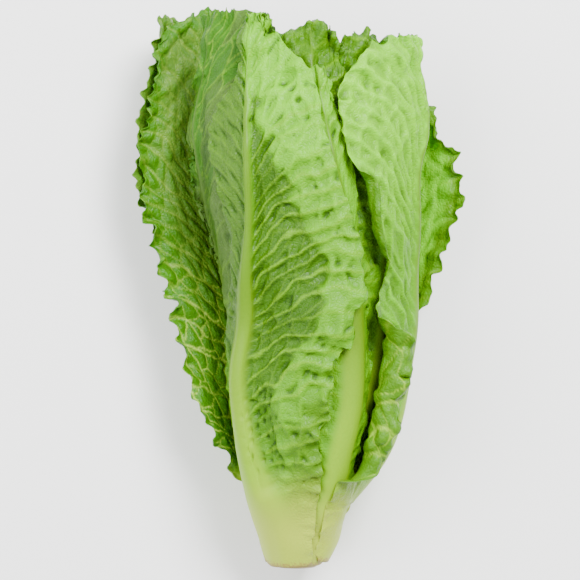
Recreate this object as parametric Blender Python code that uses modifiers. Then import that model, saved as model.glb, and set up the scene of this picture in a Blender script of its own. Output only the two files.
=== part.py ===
"""A head of cos lettuce, cut at the stem and lying on its back.

Every leaf is its own solid, wrapped round one bent axis.  A place in the head is given by its
height above the cut butt, its angle round the axis (0 faces up, 90 faces +X) and its reach, where
a reach of 1 is the outside of the closed head.  The leaves are laid one over another from the
heart outwards: each rests on what is already there, so that no two of them meet.
"""

import math
from dataclasses import dataclass

import bmesh
import bpy
import numpy as np
from mathutils import Vector

# Driving dimensions, in metres.
HEAD_LENGTH = 0.280
LEAF_THICKNESS = 0.0010
LEAF_GAP = 0.0009
GROUND = -0.0050
CORE_HEIGHT = 0.052
CORE_BUTT_RADIUS = 0.0085
CORE_TOP_RADIUS = 0.0020

# The closed head: stations above the butt, its half width and half depth there, and its axis.
HEAD_STATIONS = (0.000, 0.020, 0.035, 0.060, 0.110, 0.150, 0.200, 0.240, 0.290)
HALF_WIDTH = (0.0130, 0.0215, 0.0285, 0.0370, 0.0460, 0.0510, 0.0590, 0.0580, 0.0550)
HALF_DEPTH = (0.0125, 0.0190, 0.0245, 0.0310, 0.0390, 0.0430, 0.0470, 0.0460, 0.0430)
AXIS_X = (0.0000, 0.0020, 0.0040, 0.0075, 0.0095, 0.0075, 0.0035, 0.0045, 0.0050)
AXIS_Z = (0.0240, 0.0310, 0.0365, 0.0420, 0.0455, 0.0470, 0.0500, 0.0495, 0.0470)

# Each leaf's tables below hold one value at each of these fractions of its length.
LEAF_STATIONS = (0.0, 0.2, 0.45, 0.75, 1.0)

# Grid of heights and angles on which the leaves are laid over one another.
HEIGHT_STEP = 0.004
ANGLE_STEP = 3
HEIGHTS = np.arange(0.0, HEAD_LENGTH + 0.012, HEIGHT_STEP)
ANGLES = np.arange(-180, 180, ANGLE_STEP)

# Divisions of one leaf.
ROWS = 13
COLUMNS = 11


@dataclass(frozen=True)
class Leaf:
    """One leaf. Angles are in degrees, lengths in metres, reaches in parts of the head's radius."""

    name: str
    base: float
    tip: float
    rib_angle: tuple
    left_span: tuple
    right_span: tuple
    rib_reach: tuple
    left_reach: tuple
    right_reach: tuple
    left_drop: float
    right_drop: float
    rib_depth: float
    colour: tuple
    crown_power: float = 2.0
    clearance: float = 0.0005


def smooth_through(stations, values, places):
    """Reads a smooth curve through the given values at any places, level past both ends."""
    stations = np.asarray(stations, float)
    values = np.asarray(values, float)
    slopes = np.gradient(values, stations)
    places = np.clip(places, stations[0], stations[-1])
    index = np.clip(np.searchsorted(stations, places, side="right") - 1, 0, len(stations) - 2)
    width = stations[index + 1] - stations[index]
    part = (places - stations[index]) / width
    start = values[index] * (1 + 2 * part) * (1 - part) ** 2
    end = values[index + 1] * part**2 * (3 - 2 * part)
    turn = slopes[index] * part * (1 - part) ** 2 + slopes[index + 1] * part**2 * (part - 1)
    return start + end + turn * width


def head(table, height):
    """One of the head's own tables at a height."""
    return smooth_through(HEAD_STATIONS, table, height)


def radius_of_head(height, angle):
    """The head's radius at a height and an angle in radians."""
    across = head(HALF_WIDTH, height) * np.sin(angle)
    up = head(HALF_DEPTH, height) * np.cos(angle)
    return np.hypot(across, up)


def place(height, angle, reach):
    """The point at a height, an angle in radians and a reach, with the butt at y = 0."""
    x = head(AXIS_X, height) + reach * head(HALF_WIDTH, height) * np.sin(angle)
    z = head(AXIS_Z, height) + reach * head(HALF_DEPTH, height) * np.cos(angle)
    return np.stack([x, height + 0 * x, z], axis=-1)


def smooth_max(first, second, softness):
    """A rounded maximum that is never under either of its two fields."""
    return 0.5 * (first + second + np.sqrt((first - second) ** 2 + softness**2))


def widened(field, rows, columns):
    """The highest value within so many grid steps. Angles run round, heights don't."""
    padded = np.pad(field, ((rows, rows), (0, 0)), mode="edge")
    tall = np.max([padded[k : k + len(field)] for k in range(2 * rows + 1)], axis=0)
    return np.max([np.roll(tall, k, axis=1) for k in range(-columns, columns + 1)], axis=0)


def blurred(field, rows, columns):
    """The mean within so many grid steps."""
    padded = np.pad(field, ((rows, rows), (0, 0)), mode="edge")
    tall = np.mean([padded[k : k + len(field)] for k in range(2 * rows + 1)], axis=0)
    return np.mean([np.roll(tall, k, axis=1) for k in range(-columns, columns + 1)], axis=0)


def read_grid(field, height, angle):
    """The field between its grid points, at heights in metres and angles in degrees."""
    row = np.clip(height / HEIGHT_STEP, 0, len(HEIGHTS) - 1.001)
    column = (angle - ANGLES[0]) / ANGLE_STEP
    low_row = row.astype(int)
    low_column = np.floor(column).astype(int)
    up = row - low_row
    along = column - low_column
    first = low_column % len(ANGLES)
    second = (low_column + 1) % len(ANGLES)
    low = field[low_row, first] * (1 - along) + field[low_row, second] * along
    high = field[low_row + 1, first] * (1 - along) + field[low_row + 1, second] * along
    return low * (1 - up) + high * up


def leaf_table(table, leaf, height):
    """One of a leaf's tables at a height of the head."""
    return smooth_through(LEAF_STATIONS, table, (height - leaf.base) / (leaf.tip - leaf.base))


def by_side(leaf, across, left, right, height):
    """The left table where across is negative and the right one elsewhere, at a height."""
    return np.where(across < 0, leaf_table(left, leaf, height), leaf_table(right, leaf, height))


def crown(leaf, across):
    """The height of the leaf's top edge. across runs from -1 at its left margin to 1."""
    drop = np.where(across < 0, leaf.left_drop, leaf.right_drop)
    return leaf.tip - drop * np.abs(across) ** leaf.crown_power


def thickness(leaf, height, across):
    """The leaf's thickness: a thin blade with a rib that is broad and deep near the butt."""
    part = np.clip((height - leaf.base) / (leaf.tip - leaf.base), 0, 1)
    rib = leaf.rib_depth * (1 - part) ** 1.4 * np.minimum(1, 0.45 + part * 7)
    spread = 0.62 - 0.50 * np.minimum(1, part * 2.2)
    return LEAF_THICKNESS + rib * np.exp(-((across / spread) ** 2))


def wanted_reach(leaf, height, across):
    """The reach that the leaf would have with nothing inside it and no ground below it."""
    rib = leaf_table(leaf.rib_reach, leaf, height)
    side = by_side(leaf, across, leaf.left_reach, leaf.right_reach, height)
    return rib + (side - rib) * np.minimum(np.abs(across), 1.6) ** 2


def lay_leaves(leaves):
    """Lays the leaves over the core in turn and returns each leaf's field of reaches."""
    height, angle = np.meshgrid(HEIGHTS, np.radians(ANGLES), indexing="ij")
    radius = radius_of_head(height, angle)
    core = np.interp(height, (0, CORE_HEIGHT), (CORE_BUTT_RADIUS, CORE_TOP_RADIUS))
    core = np.where(height < CORE_HEIGHT + 0.008, core * 1.12 + 0.0004, 0.002)
    filled = core / radius
    facing_down = np.cos(angle) < -0.1
    depth_below = head(HALF_DEPTH, height) * np.maximum(-np.cos(angle), 0.1)
    fields = {}
    for leaf in leaves:
        turn = np.degrees(angle) - leaf_table(leaf.rib_angle, leaf, height)
        turn = (turn + 180) % 360 - 180
        span = by_side(leaf, turn, leaf.left_span, leaf.right_span, height)
        across = turn / span
        depth = thickness(leaf, height, across)
        wanted = wanted_reach(leaf, height, across)
        lowest = (head(AXIS_Z, height) - GROUND - depth - leaf.clearance) / depth_below
        wanted = np.where(facing_down, np.minimum(wanted, lowest), wanted)
        under = blurred(widened(filled, 4, 4), 2, 2) + LEAF_GAP / radius
        reach = smooth_max(under, wanted, 0.03)
        slope_up, slope_round = np.gradient(reach * radius, HEIGHT_STEP, math.radians(ANGLE_STEP))
        steep = np.sqrt(1 + slope_up**2 + (slope_round / (reach * radius)) ** 2)
        covered = (np.abs(across) < 1.02) & (height > leaf.base - HEIGHT_STEP)
        covered &= height < crown(leaf, across) + HEIGHT_STEP
        filled = np.where(covered, np.maximum(filled, reach + depth * steep / radius), filled)
        fields[leaf.name] = reach
    return fields


def collection_named(name):
    made = bpy.data.collections.new(name)
    bpy.context.scene.collection.children.link(made)
    return made


def material_named(name, colour, roughness):
    made = bpy.data.materials.new(name)
    made.use_nodes = True
    shader = made.node_tree.nodes["Principled BSDF"]
    shader.inputs["Base Color"].default_value = (*colour, 1.0)
    shader.inputs["Roughness"].default_value = roughness
    shader.inputs["Metallic"].default_value = 0.0
    made.diffuse_color = (*colour, 1.0)
    return made


def object_from(mesh_maker, name, colour, roughness, collection):
    mesh = bpy.data.meshes.new(name)
    mesh_maker.to_mesh(mesh)
    mesh_maker.free()
    mesh.materials.append(material_named(name, colour, roughness))
    mesh.shade_smooth()
    made = bpy.data.objects.new(name, mesh)
    collection.objects.link(made)
    return made


def make_leaf(leaf, field, collection):
    """A sheet laid on the leaf's field, thickened outwards to the rib's depth."""
    sheet = bmesh.new()
    bmesh.ops.create_grid(sheet, x_segments=COLUMNS - 1, y_segments=ROWS - 1, size=1)
    spots = np.array([vertex.co[:2] for vertex in sheet.verts])
    across = np.sign(spots[:, 0]) * np.abs(spots[:, 0]) ** 1.2
    along = (spots[:, 1] + 1) / 2
    height = leaf.base + along * (crown(leaf, across) - leaf.base)
    span = by_side(leaf, across, leaf.left_span, leaf.right_span, height)
    angle = leaf_table(leaf.rib_angle, leaf, height) + across * span
    reach = read_grid(field, height, angle)
    for vertex, point in zip(sheet.verts, place(height, np.radians(angle), reach)):
        vertex.co = Vector(point)
    made = object_from(sheet, leaf.name, leaf.colour, 0.45, collection)
    first = made.data.polygons[0]
    if first.normal.dot(first.center - axis_point(first.center.y)) < 0:
        made.data.flip_normals()
    depth = thickness(leaf, height, across)
    group = made.vertex_groups.new(name="depth")
    for index, value in enumerate(depth / depth.max()):
        group.add([index], value, "REPLACE")
    shell = made.modifiers.new("thickness", "SOLIDIFY")
    shell.thickness = depth.max()
    shell.offset = 1
    shell.vertex_group = group.name
    return made


def axis_point(height):
    return Vector((float(head(AXIS_X, height)), height, float(head(AXIS_Z, height))))


def make_core(collection):
    """The cut stem: a tapering turned solid along the lower end of the head's axis."""
    profile = bmesh.new()
    steps = 6
    places = [(0, 0)]
    for step in range(steps + 1):
        part = step / steps
        radius = CORE_BUTT_RADIUS + (CORE_TOP_RADIUS - CORE_BUTT_RADIUS) * part
        places.append((radius, part * CORE_HEIGHT))
    places.append((0, CORE_HEIGHT + CORE_TOP_RADIUS))
    points = [profile.verts.new((radius, 0, height)) for radius, height in reversed(places)]
    for first, second in zip(points, points[1:]):
        profile.edges.new((first, second))
    made = object_from(profile, "core_stem", (0.72, 0.74, 0.42), 0.5, collection)
    turned = made.modifiers.new("turned", "SCREW")
    turned.steps = 20
    turned.render_steps = 20
    turned.use_merge_vertices = True
    turned.merge_threshold = 0.00005
    bottom = axis_point(0.0)
    along = axis_point(CORE_HEIGHT) - bottom
    made.location = bottom
    made.rotation_euler = along.to_track_quat("Z", "Y").to_euler()
    return made


OUTER_GREEN = (0.25, 0.45, 0.08)
LIGHT_GREEN = (0.38, 0.58, 0.17)
HEART_GREEN = (0.52, 0.64, 0.20)


def heart_leaves():
    """The small leaves round the growing point, each a golden angle on from the last."""
    golden_angle = 137.5
    found = []
    for order in range(5):
        angle = 20 + order * golden_angle
        angle = (angle + 180) % 360 - 180
        reach = 0.10 + 0.085 * order
        found.append(
            Leaf(
                name=f"heart_leaf_{order + 1}",
                base=0.038 - 0.004 * order,
                tip=0.185 + 0.014 * order,
                rib_angle=(angle,) * 5,
                left_span=(60, 62, 66, 70, 56),
                right_span=(60, 62, 66, 70, 56),
                rib_reach=(0, reach * 0.8, reach, reach, reach * 0.9),
                left_reach=(0, reach * 0.7, reach * 0.9, reach * 0.9, reach * 0.8),
                right_reach=(0, reach * 0.7, reach * 0.9, reach * 0.9, reach * 0.8),
                left_drop=0.030,
                right_drop=0.030,
                rib_depth=0.0026,
                colour=HEART_GREEN,
            )
        )
    return found


def named_leaves():
    """The leaves from the heart outwards to the wrappers."""
    return [
        Leaf(
            name="inner_back_leaf",
            base=0.018,
            tip=0.252,
            rib_angle=(-165, -165, -162, -160, -160),
            left_span=(48, 52, 62, 66, 50),
            right_span=(48, 52, 62, 66, 50),
            rib_reach=(0, 0.45, 0.58, 0.62, 0.62),
            left_reach=(0, 0.45, 0.58, 0.64, 0.62),
            right_reach=(0, 0.45, 0.58, 0.64, 0.62),
            left_drop=0.028,
            right_drop=0.028,
            rib_depth=0.0030,
            colour=LIGHT_GREEN,
        ),
        Leaf(
            name="inner_right_leaf",
            base=0.016,
            tip=0.264,
            rib_angle=(62, 64, 62, 52, 44),
            left_span=(46, 44, 42, 40, 34),
            right_span=(46, 50, 60, 62, 50),
            rib_reach=(0, 0.50, 0.62, 0.68, 0.66),
            left_reach=(0, 0.50, 0.60, 0.64, 0.62),
            right_reach=(0, 0.50, 0.64, 0.70, 0.66),
            left_drop=0.014,
            right_drop=0.024,
            rib_depth=0.0030,
            colour=LIGHT_GREEN,
        ),
        Leaf(
            name="inner_front_leaf",
            base=0.014,
            tip=0.268,
            rib_angle=(-4, -2, 0, 2, 4),
            left_span=(46, 48, 50, 46, 34),
            right_span=(44, 30, 28, 24, 20),
            rib_reach=(0, 0.52, 0.70, 0.76, 0.74),
            left_reach=(0, 0.52, 0.70, 0.76, 0.72),
            right_reach=(0, 0.48, 0.62, 0.70, 0.68),
            left_drop=0.020,
            right_drop=0.012,
            rib_depth=0.0032,
            colour=LIGHT_GREEN,
        ),
        Leaf(
            name="back_leaf",
            base=0.010,
            tip=0.262,
            rib_angle=(165, 168, 170, 172, 172),
            left_span=(44, 48, 58, 62, 46),
            right_span=(44, 48, 58, 62, 46),
            rib_reach=(0, 0.62, 0.78, 0.80, 0.80),
            left_reach=(0, 0.62, 0.80, 0.84, 0.80),
            right_reach=(0, 0.62, 0.80, 0.84, 0.80),
            left_drop=0.026,
            right_drop=0.026,
            rib_depth=0.0036,
            colour=LIGHT_GREEN,
        ),
        Leaf(
            name="left_inner_leaf",
            base=0.008,
            tip=0.274,
            rib_angle=(-84, -82, -66, -42, -42),
            left_span=(40, 32, 30, 48, 26),
            right_span=(40, 40, 46, 34, 30),
            rib_reach=(0, 0.80, 0.88, 0.90, 0.86),
            left_reach=(0, 0.86, 0.95, 0.98, 0.88),
            right_reach=(0, 0.72, 0.82, 0.84, 0.82),
            left_drop=0.006,
            right_drop=0.008,
            rib_depth=0.0036,
            colour=LIGHT_GREEN,
        ),
        Leaf(
            name="front_right_leaf",
            base=0.006,
            tip=0.246,
            rib_angle=(43, 26, 25, 20, 14),
            left_span=(42, 48, 50, 40, 28),
            right_span=(38, 16, 12, 10, 9),
            rib_reach=(0, 0.84, 0.90, 0.92, 0.90),
            left_reach=(0, 0.78, 0.84, 0.86, 0.84),
            right_reach=(0, 0.74, 0.78, 0.84, 0.84),
            left_drop=0.010,
            right_drop=0.010,
            rib_depth=0.0044,
            colour=LIGHT_GREEN,
        ),
        Leaf(
            name="right_leaf",
            base=0.004,
            tip=0.263,
            rib_angle=(92, 76, 84, 76, 74),
            left_span=(40, 26, 38, 54, 46),
            right_span=(40, 46, 56, 52, 30),
            rib_reach=(0, 0.92, 0.97, 0.97, 1.00),
            left_reach=(0, 0.88, 0.92, 0.98, 0.96),
            right_reach=(0, 0.86, 0.92, 0.94, 0.96),
            left_drop=0.028,
            right_drop=0.010,
            rib_depth=0.0046,
            colour=LIGHT_GREEN,
            crown_power=3.0,
        ),
        Leaf(
            name="front_wrapper_leaf",
            base=0.002,
            tip=0.273,
            rib_angle=(-37, -60, -46, -27, -30),
            left_span=(40, 26, 16, 22, 10),
            right_span=(40, 64, 74, 42, 34),
            rib_reach=(0, 0.94, 0.97, 0.99, 0.95),
            left_reach=(0, 0.86, 0.90, 0.86, 0.90),
            right_reach=(0, 0.92, 0.96, 0.97, 0.90),
            left_drop=0.020,
            right_drop=0.052,
            rib_depth=0.0050,
            colour=LIGHT_GREEN,
        ),
        Leaf(
            name="right_back_leaf",
            base=0.003,
            tip=0.246,
            rib_angle=(148, 148, 145, 139, 128),
            left_span=(38, 42, 47, 50, 36),
            right_span=(30, 32, 34, 36, 28),
            rib_reach=(0, 1.10, 1.30, 1.34, 1.20),
            left_reach=(0, 0.96, 1.06, 1.32, 1.12),
            right_reach=(0, 0.86, 0.88, 0.88, 0.90),
            left_drop=0.018,
            right_drop=0.030,
            rib_depth=0.0046,
            colour=OUTER_GREEN,
        ),
        Leaf(
            name="left_outer_leaf",
            base=0.001,
            tip=0.280,
            rib_angle=(-112, -126, -128, -124, -112),
            left_span=(36, 44, 48, 50, 36),
            right_span=(40, 42, 40, 34, 28),
            rib_reach=(0, 1.06, 1.22, 1.26, 1.20),
            left_reach=(0, 0.92, 0.96, 0.96, 1.00),
            right_reach=(0, 1.20, 1.46, 1.40, 1.30),
            left_drop=0.040,
            right_drop=0.016,
            rib_depth=0.0048,
            colour=OUTER_GREEN,
            clearance=0.0065,
        ),
        Leaf(
            name="top_left_back_leaf",
            base=0.006,
            tip=0.277,
            rib_angle=(-150, -148, -142, -136, -128),
            left_span=(32, 32, 36, 40, 34),
            right_span=(36, 34, 30, 36, 30),
            rib_reach=(0, 1.06, 1.26, 1.30, 1.26),
            left_reach=(0, 0.98, 1.04, 1.04, 1.06),
            right_reach=(0, 1.00, 1.10, 1.24, 1.30),
            left_drop=0.030,
            right_drop=0.004,
            rib_depth=0.0044,
            colour=OUTER_GREEN,
        ),
    ]


def centre_on_ground(objects):
    """Moves the head so that the middle of its box stands on the origin."""
    bpy.context.view_layer.update()
    graph = bpy.context.evaluated_depsgraph_get()
    corners = []
    for each in objects:
        evaluated = each.evaluated_get(graph)
        corners += [evaluated.matrix_world @ Vector(corner) for corner in evaluated.bound_box]
    low = Vector([min(corner[axis] for corner in corners) for axis in range(3)])
    high = Vector([max(corner[axis] for corner in corners) for axis in range(3)])
    middle = Vector(((low.x + high.x) / 2, (low.y + high.y) / 2, low.z))
    for each in objects:
        each.location -= middle


def main():
    for old in list(bpy.data.objects):
        bpy.data.objects.remove(old)
    lettuce = collection_named("head_of_lettuce")
    leaves = heart_leaves() + named_leaves()
    fields = lay_leaves(leaves)
    made = [make_leaf(leaf, fields[leaf.name], lettuce) for leaf in leaves]
    made.append(make_core(lettuce))
    centre_on_ground(made)


main()
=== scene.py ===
"""The looks of a head of cos lettuce, cut at the stem and lying on its back.

Every leaf is a fine closed sheet wrapped round the head's bent axis.  A place in the head is given
by its height above the cut butt, its turn round the axis (0 faces up, 90 faces +X) and its reach,
where a reach of 1 is the outside of the closed head.  The leaves are laid one over another from the
heart outwards.  A Geometry Nodes tree then raises the veins of each leaf and sinks the blade
between them, and the finishes are coloured from the same veins.

Lengths are in millimetres until a mesh is made, and turns are in degrees.
"""

import logging
import math
from dataclasses import dataclass, field, replace
from enum import Enum

import bmesh
import bpy
import numpy as np
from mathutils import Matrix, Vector


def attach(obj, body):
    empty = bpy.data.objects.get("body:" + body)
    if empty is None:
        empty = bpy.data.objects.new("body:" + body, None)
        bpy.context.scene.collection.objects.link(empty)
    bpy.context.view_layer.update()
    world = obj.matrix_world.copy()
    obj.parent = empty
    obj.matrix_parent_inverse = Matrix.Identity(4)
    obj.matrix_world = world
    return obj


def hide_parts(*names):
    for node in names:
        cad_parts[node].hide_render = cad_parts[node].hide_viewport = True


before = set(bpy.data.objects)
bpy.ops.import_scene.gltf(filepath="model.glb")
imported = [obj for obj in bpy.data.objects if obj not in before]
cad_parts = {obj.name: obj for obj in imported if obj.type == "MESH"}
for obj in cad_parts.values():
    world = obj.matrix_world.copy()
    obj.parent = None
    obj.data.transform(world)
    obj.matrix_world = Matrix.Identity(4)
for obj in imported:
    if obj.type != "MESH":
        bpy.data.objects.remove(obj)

logging.basicConfig(level=logging.INFO, format="%(name)s: %(message)s")
log = logging.getLogger("lettuce")

MM = 0.001
# From the middle of the butt to the row frame's origin, which is under the middle of the head.
ORIGIN = np.array((-0.4, 138.3, -5.7))
# How high the ground lies, and the lowest that a leaf may come to it.
GROUND = -5.6
LOWEST = GROUND + 0.5

HEIGHT_STEP = 2.0
TURN_STEP = 2
HEIGHTS = np.arange(0.0, 292.0, HEIGHT_STEP)
TURNS = np.arange(-180, 180, TURN_STEP)

Colour = tuple[float, float, float]

# Linear colours. The blade, from its palest to its darkest. The two palest are painted light on
# the wrappers' upper blade (the second is also a plain pale green on the heart leaves), and the two
# darkest are painted shade in the troughs, the dents and the sunk blade.
# Painted light: the brighter top of the right leaf, whose upper blade the lamps light less.
LIT_TOP: Colour = (0.185, 0.545, 0.003)
# Painted sheen where light catches the upper blade of a wrapper.
SHEEN: Colour = (0.140, 0.450, 0.001)
LIGHT: Colour = (0.088, 0.282, 0.000)
BRIGHT: Colour = (0.062, 0.175, 0.000)
MIDDLE: Colour = (0.048, 0.150, 0.000)
LIVELY: Colour = (0.034, 0.140, 0.000)
PANE: Colour = (0.030, 0.128, 0.000)
VIVID: Colour = (0.020, 0.100, 0.000)
DEEP: Colour = (0.026, 0.080, 0.000)
# Painted shade in the trough beside the front wrapper's rib.
TROUGH_SHADE: Colour = (0.018, 0.060, 0.000)
# Painted shade in the dents, and on the inner leaves' blade sunk between the veins.
SUNK_SHADE: Colour = (0.013, 0.050, 0.000)
# Grey-greens: a painted sheen on the centre of an outer leaf's inner face, the folded leaf's
# grey-green, and painted shade on the half of a blade that is turned from the light.
GREY_SHEEN: Colour = (0.070, 0.165, 0.012)
GREYED: Colour = (0.056, 0.122, 0.013)
# Painted shade for the less quilted half of the front wrapper leaf.
SHADED: Colour = (0.040, 0.094, 0.007)
# Veins, ribs and the stem.
CREAM_NET: Colour = (0.360, 0.520, 0.050)
NET: Colour = (0.230, 0.390, 0.016)
VEIN: Colour = (0.120, 0.290, 0.000)
STALK: Colour = (0.076, 0.174, 0.000)
PALE_STALK: Colour = (0.208, 0.392, 0.002)
CREAM: Colour = (0.350, 0.450, 0.032)
BROWN: Colour = (0.240, 0.120, 0.050)

# A leaf's thickness away from its rib, and how the rib's section falls away from its middle line.
BLADE = 0.55
RIDGE_FALL = 1.1
RIDGE_POWER = 2.4


# --------------------------------------------------------------------------------------------
# Curves and the shape of the closed head
# --------------------------------------------------------------------------------------------


@dataclass(frozen=True)
class Curve:
    """A smooth curve through given points, level past both ends."""

    points: tuple[tuple[float, float], ...]

    def at(self, place: np.ndarray) -> np.ndarray:
        """Reads the curve.

        Args:
            place: where to read it.

        Returns:
            The curve's value at each place.
        """
        stations = np.array([point[0] for point in self.points], float)
        values = np.array([point[1] for point in self.points], float)
        if len(values) == 1:
            return np.full(np.shape(place), values[0])
        slopes = np.gradient(values, stations)
        place = np.clip(place, stations[0], stations[-1])
        index = np.searchsorted(stations, place, side="right") - 1
        index = np.clip(index, 0, len(stations) - 2)
        width = stations[index + 1] - stations[index]
        part = (place - stations[index]) / width
        start = values[index] * (1 + 2 * part) * (1 - part) ** 2
        end = values[index + 1] * part**2 * (3 - 2 * part)
        bend = slopes[index] * part * (1 - part) ** 2 + slopes[index + 1] * part**2 * (part - 1)
        return start + end + bend * width


def curve(*points: tuple[float, float]) -> Curve:
    """A curve through the given points."""
    return Curve(tuple(points))


def fifths(base: float, tip: float, values: tuple[float, ...]) -> Curve:
    """A curve with one value at each of five set fractions of a leaf's length."""
    shares = (0.0, 0.2, 0.45, 0.75, 1.0)
    return Curve(tuple((base + share * (tip - base), v) for share, v in zip(shares, values)))


@dataclass(frozen=True)
class HeadShape:
    """The closed head: its axis and its half width and half depth at each height."""

    half_width: Curve
    half_depth: Curve
    axis_x: Curve
    axis_z: Curve

    def radius(self, height: np.ndarray, turn: np.ndarray) -> np.ndarray:
        """The head's radius at a height and a turn.

        Args:
            height: the height above the butt.
            turn: the turn round the axis.

        Returns:
            The radius at each height and turn.
        """
        angle = np.radians(turn)
        across = self.half_width.at(height) * np.sin(angle)
        return np.hypot(across, self.half_depth.at(height) * np.cos(angle))

    def place(self, height: np.ndarray, turn: np.ndarray, reach: np.ndarray) -> np.ndarray:
        """The point at a height, a turn and a reach, in millimetres from the butt.

        Args:
            height: the height above the butt.
            turn: the turn round the axis.
            reach: the reach from the axis.

        Returns:
            The points, with x, y and z along the last dimension.
        """
        angle = np.radians(turn)
        x = self.axis_x.at(height) + reach * self.half_width.at(height) * np.sin(angle)
        z = self.axis_z.at(height) + reach * self.half_depth.at(height) * np.cos(angle)
        return np.stack([x, height + 0 * x, z], axis=-1)


HEAD = HeadShape(
    half_width=curve(
        (0, 13.0), (20, 21.5), (35, 28.5), (60, 37.0), (110, 46.0), (150, 51.0), (200, 59.0),
        (240, 58.0), (290, 55.0),
    ),
    half_depth=curve(
        (0, 12.5), (20, 19.0), (35, 24.5), (60, 31.0), (110, 39.0), (150, 43.0), (200, 47.0),
        (240, 46.0), (290, 43.0),
    ),
    axis_x=curve(
        (0, 0.0), (20, 2.0), (35, 4.0), (60, 7.5), (110, 9.5), (150, 7.5), (200, 3.5),
        (240, 4.5), (290, 5.0),
    ),
    axis_z=curve(
        (0, 24.0), (20, 31.0), (35, 36.5), (60, 42.0), (110, 45.5), (150, 47.0), (200, 50.0),
        (240, 49.5), (290, 47.0),
    ),
)


class Measure(Enum):
    """How a line on the head is given at each height."""

    TURN = "degrees round the axis"
    ABOVE = "millimetres across the head, seen from straight above"


@dataclass(frozen=True)
class Line:
    """Where a leaf's rib or one of its margins runs.

    Seen from above, a line goes by the arc sine of its share of the half width up to STEEPEST, and
    past that by RUN_ON degrees for each half width.
    """

    STEEPEST = 0.95
    RUN_ON = 190.0

    curve: Curve
    measure: Measure = Measure.TURN

    def turn(self, height: np.ndarray, reach: np.ndarray) -> np.ndarray:
        """The line's turn round the axis.

        Args:
            height: the heights to read.
            reach: the leaf's reach along the line at those heights.

        Returns:
            The turn at each height. A line seen from above runs on round the side of the head.
        """
        value = self.curve.at(height)
        if self.measure is Measure.TURN:
            return value
        share = (value - HEAD.axis_x.at(height)) / (reach * HEAD.half_width.at(height))
        inside = np.clip(share, -self.STEEPEST, self.STEEPEST)
        return np.degrees(np.arcsin(inside)) + self.RUN_ON * (share - inside)


def above(*points: tuple[float, float]) -> Line:
    """A line seen from above through the given points."""
    return Line(Curve(tuple(points)), Measure.ABOVE)


# --------------------------------------------------------------------------------------------
# Fields and noise
# --------------------------------------------------------------------------------------------


def smooth_max(first: np.ndarray, second: np.ndarray, softness: float) -> np.ndarray:
    """A rounded maximum that is never under either of its two fields."""
    return 0.5 * (first + second + np.sqrt((first - second) ** 2 + softness**2))


def rise(value: np.ndarray, low: float, high: float) -> np.ndarray:
    """Goes smoothly from 0 at low to 1 at high. low may be the greater of the two."""
    part = np.clip((value - low) / (high - low), 0, 1)
    return part * part * (3 - 2 * part)


def widened(grid: np.ndarray, rows: int, columns: int) -> np.ndarray:
    """The highest value within so many steps. Turns run round, heights don't.

    Args:
        grid: the grid of heights and turns.
        rows: how many steps up and down.
        columns: how many steps round.

    Returns:
        The widened grid.
    """
    padded = np.pad(grid, ((rows, rows), (0, 0)), mode="edge")
    tall = np.max([padded[k : k + len(grid)] for k in range(2 * rows + 1)], axis=0)
    return np.max([np.roll(tall, k, axis=1) for k in range(-columns, columns + 1)], axis=0)


def blurred(grid: np.ndarray, rows: int, columns: int) -> np.ndarray:
    """The mean within so many steps. Turns run round, heights don't.

    Args:
        grid: the grid of heights and turns.
        rows: how many steps up and down.
        columns: how many steps round.

    Returns:
        The blurred grid.
    """
    padded = np.pad(grid, ((rows, rows), (0, 0)), mode="edge")
    tall = np.mean([padded[k : k + len(grid)] for k in range(2 * rows + 1)], axis=0)
    return np.mean([np.roll(tall, k, axis=1) for k in range(-columns, columns + 1)], axis=0)


def softened(sheet: np.ndarray, reach: int) -> np.ndarray:
    """The mean within so many steps of a sheet that has four edges.

    Args:
        sheet: a value for each point of the sheet.
        reach: how many steps each way.

    Returns:
        The softened values.
    """
    padded = np.pad(sheet, reach, mode="edge")
    rows, columns = sheet.shape
    tall = np.mean([padded[k : k + rows] for k in range(2 * reach + 1)], axis=0)
    return np.mean([tall[:, k : k + columns] for k in range(2 * reach + 1)], axis=0)


def read_grid(grid: np.ndarray, height: np.ndarray, turn: np.ndarray) -> np.ndarray:
    """Reads a grid of heights and turns between its points.

    Args:
        grid: the grid of heights and turns.
        height: the heights to read at.
        turn: the turns to read at.

    Returns:
        The value at each height and turn.
    """
    row = np.clip(height / HEIGHT_STEP, 0, len(HEIGHTS) - 1.001)
    column = (turn - TURNS[0]) / TURN_STEP
    low_row = row.astype(int)
    low_column = np.floor(column).astype(int)
    up, along = row - low_row, column - low_column
    first, second = low_column % len(TURNS), (low_column + 1) % len(TURNS)
    low = grid[low_row, first] * (1 - along) + grid[low_row, second] * along
    high = grid[low_row + 1, first] * (1 - along) + grid[low_row + 1, second] * along
    return low * (1 - up) + high * up


KNOTS = 256
FIRST_KNOT = 64
WAVES = 9
WAVES_HEIGHT = 4.2


def wander(place: np.ndarray, length: float, seed: int) -> np.ndarray:
    """A smooth random line between -1 and 1 with one knot every so many millimetres.

    Args:
        place: where to read the line.
        length: the distance from knot to knot.
        seed: which line it is.

    Returns:
        The line's value at each place.
    """
    knots = np.random.default_rng(seed).uniform(-1, 1, KNOTS)
    spot = place / length + FIRST_KNOT
    low = np.floor(spot).astype(int)
    part = spot - low
    part = part * part * (3 - 2 * part)
    return knots[low % KNOTS] * (1 - part) + knots[(low + 1) % KNOTS] * part


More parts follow.
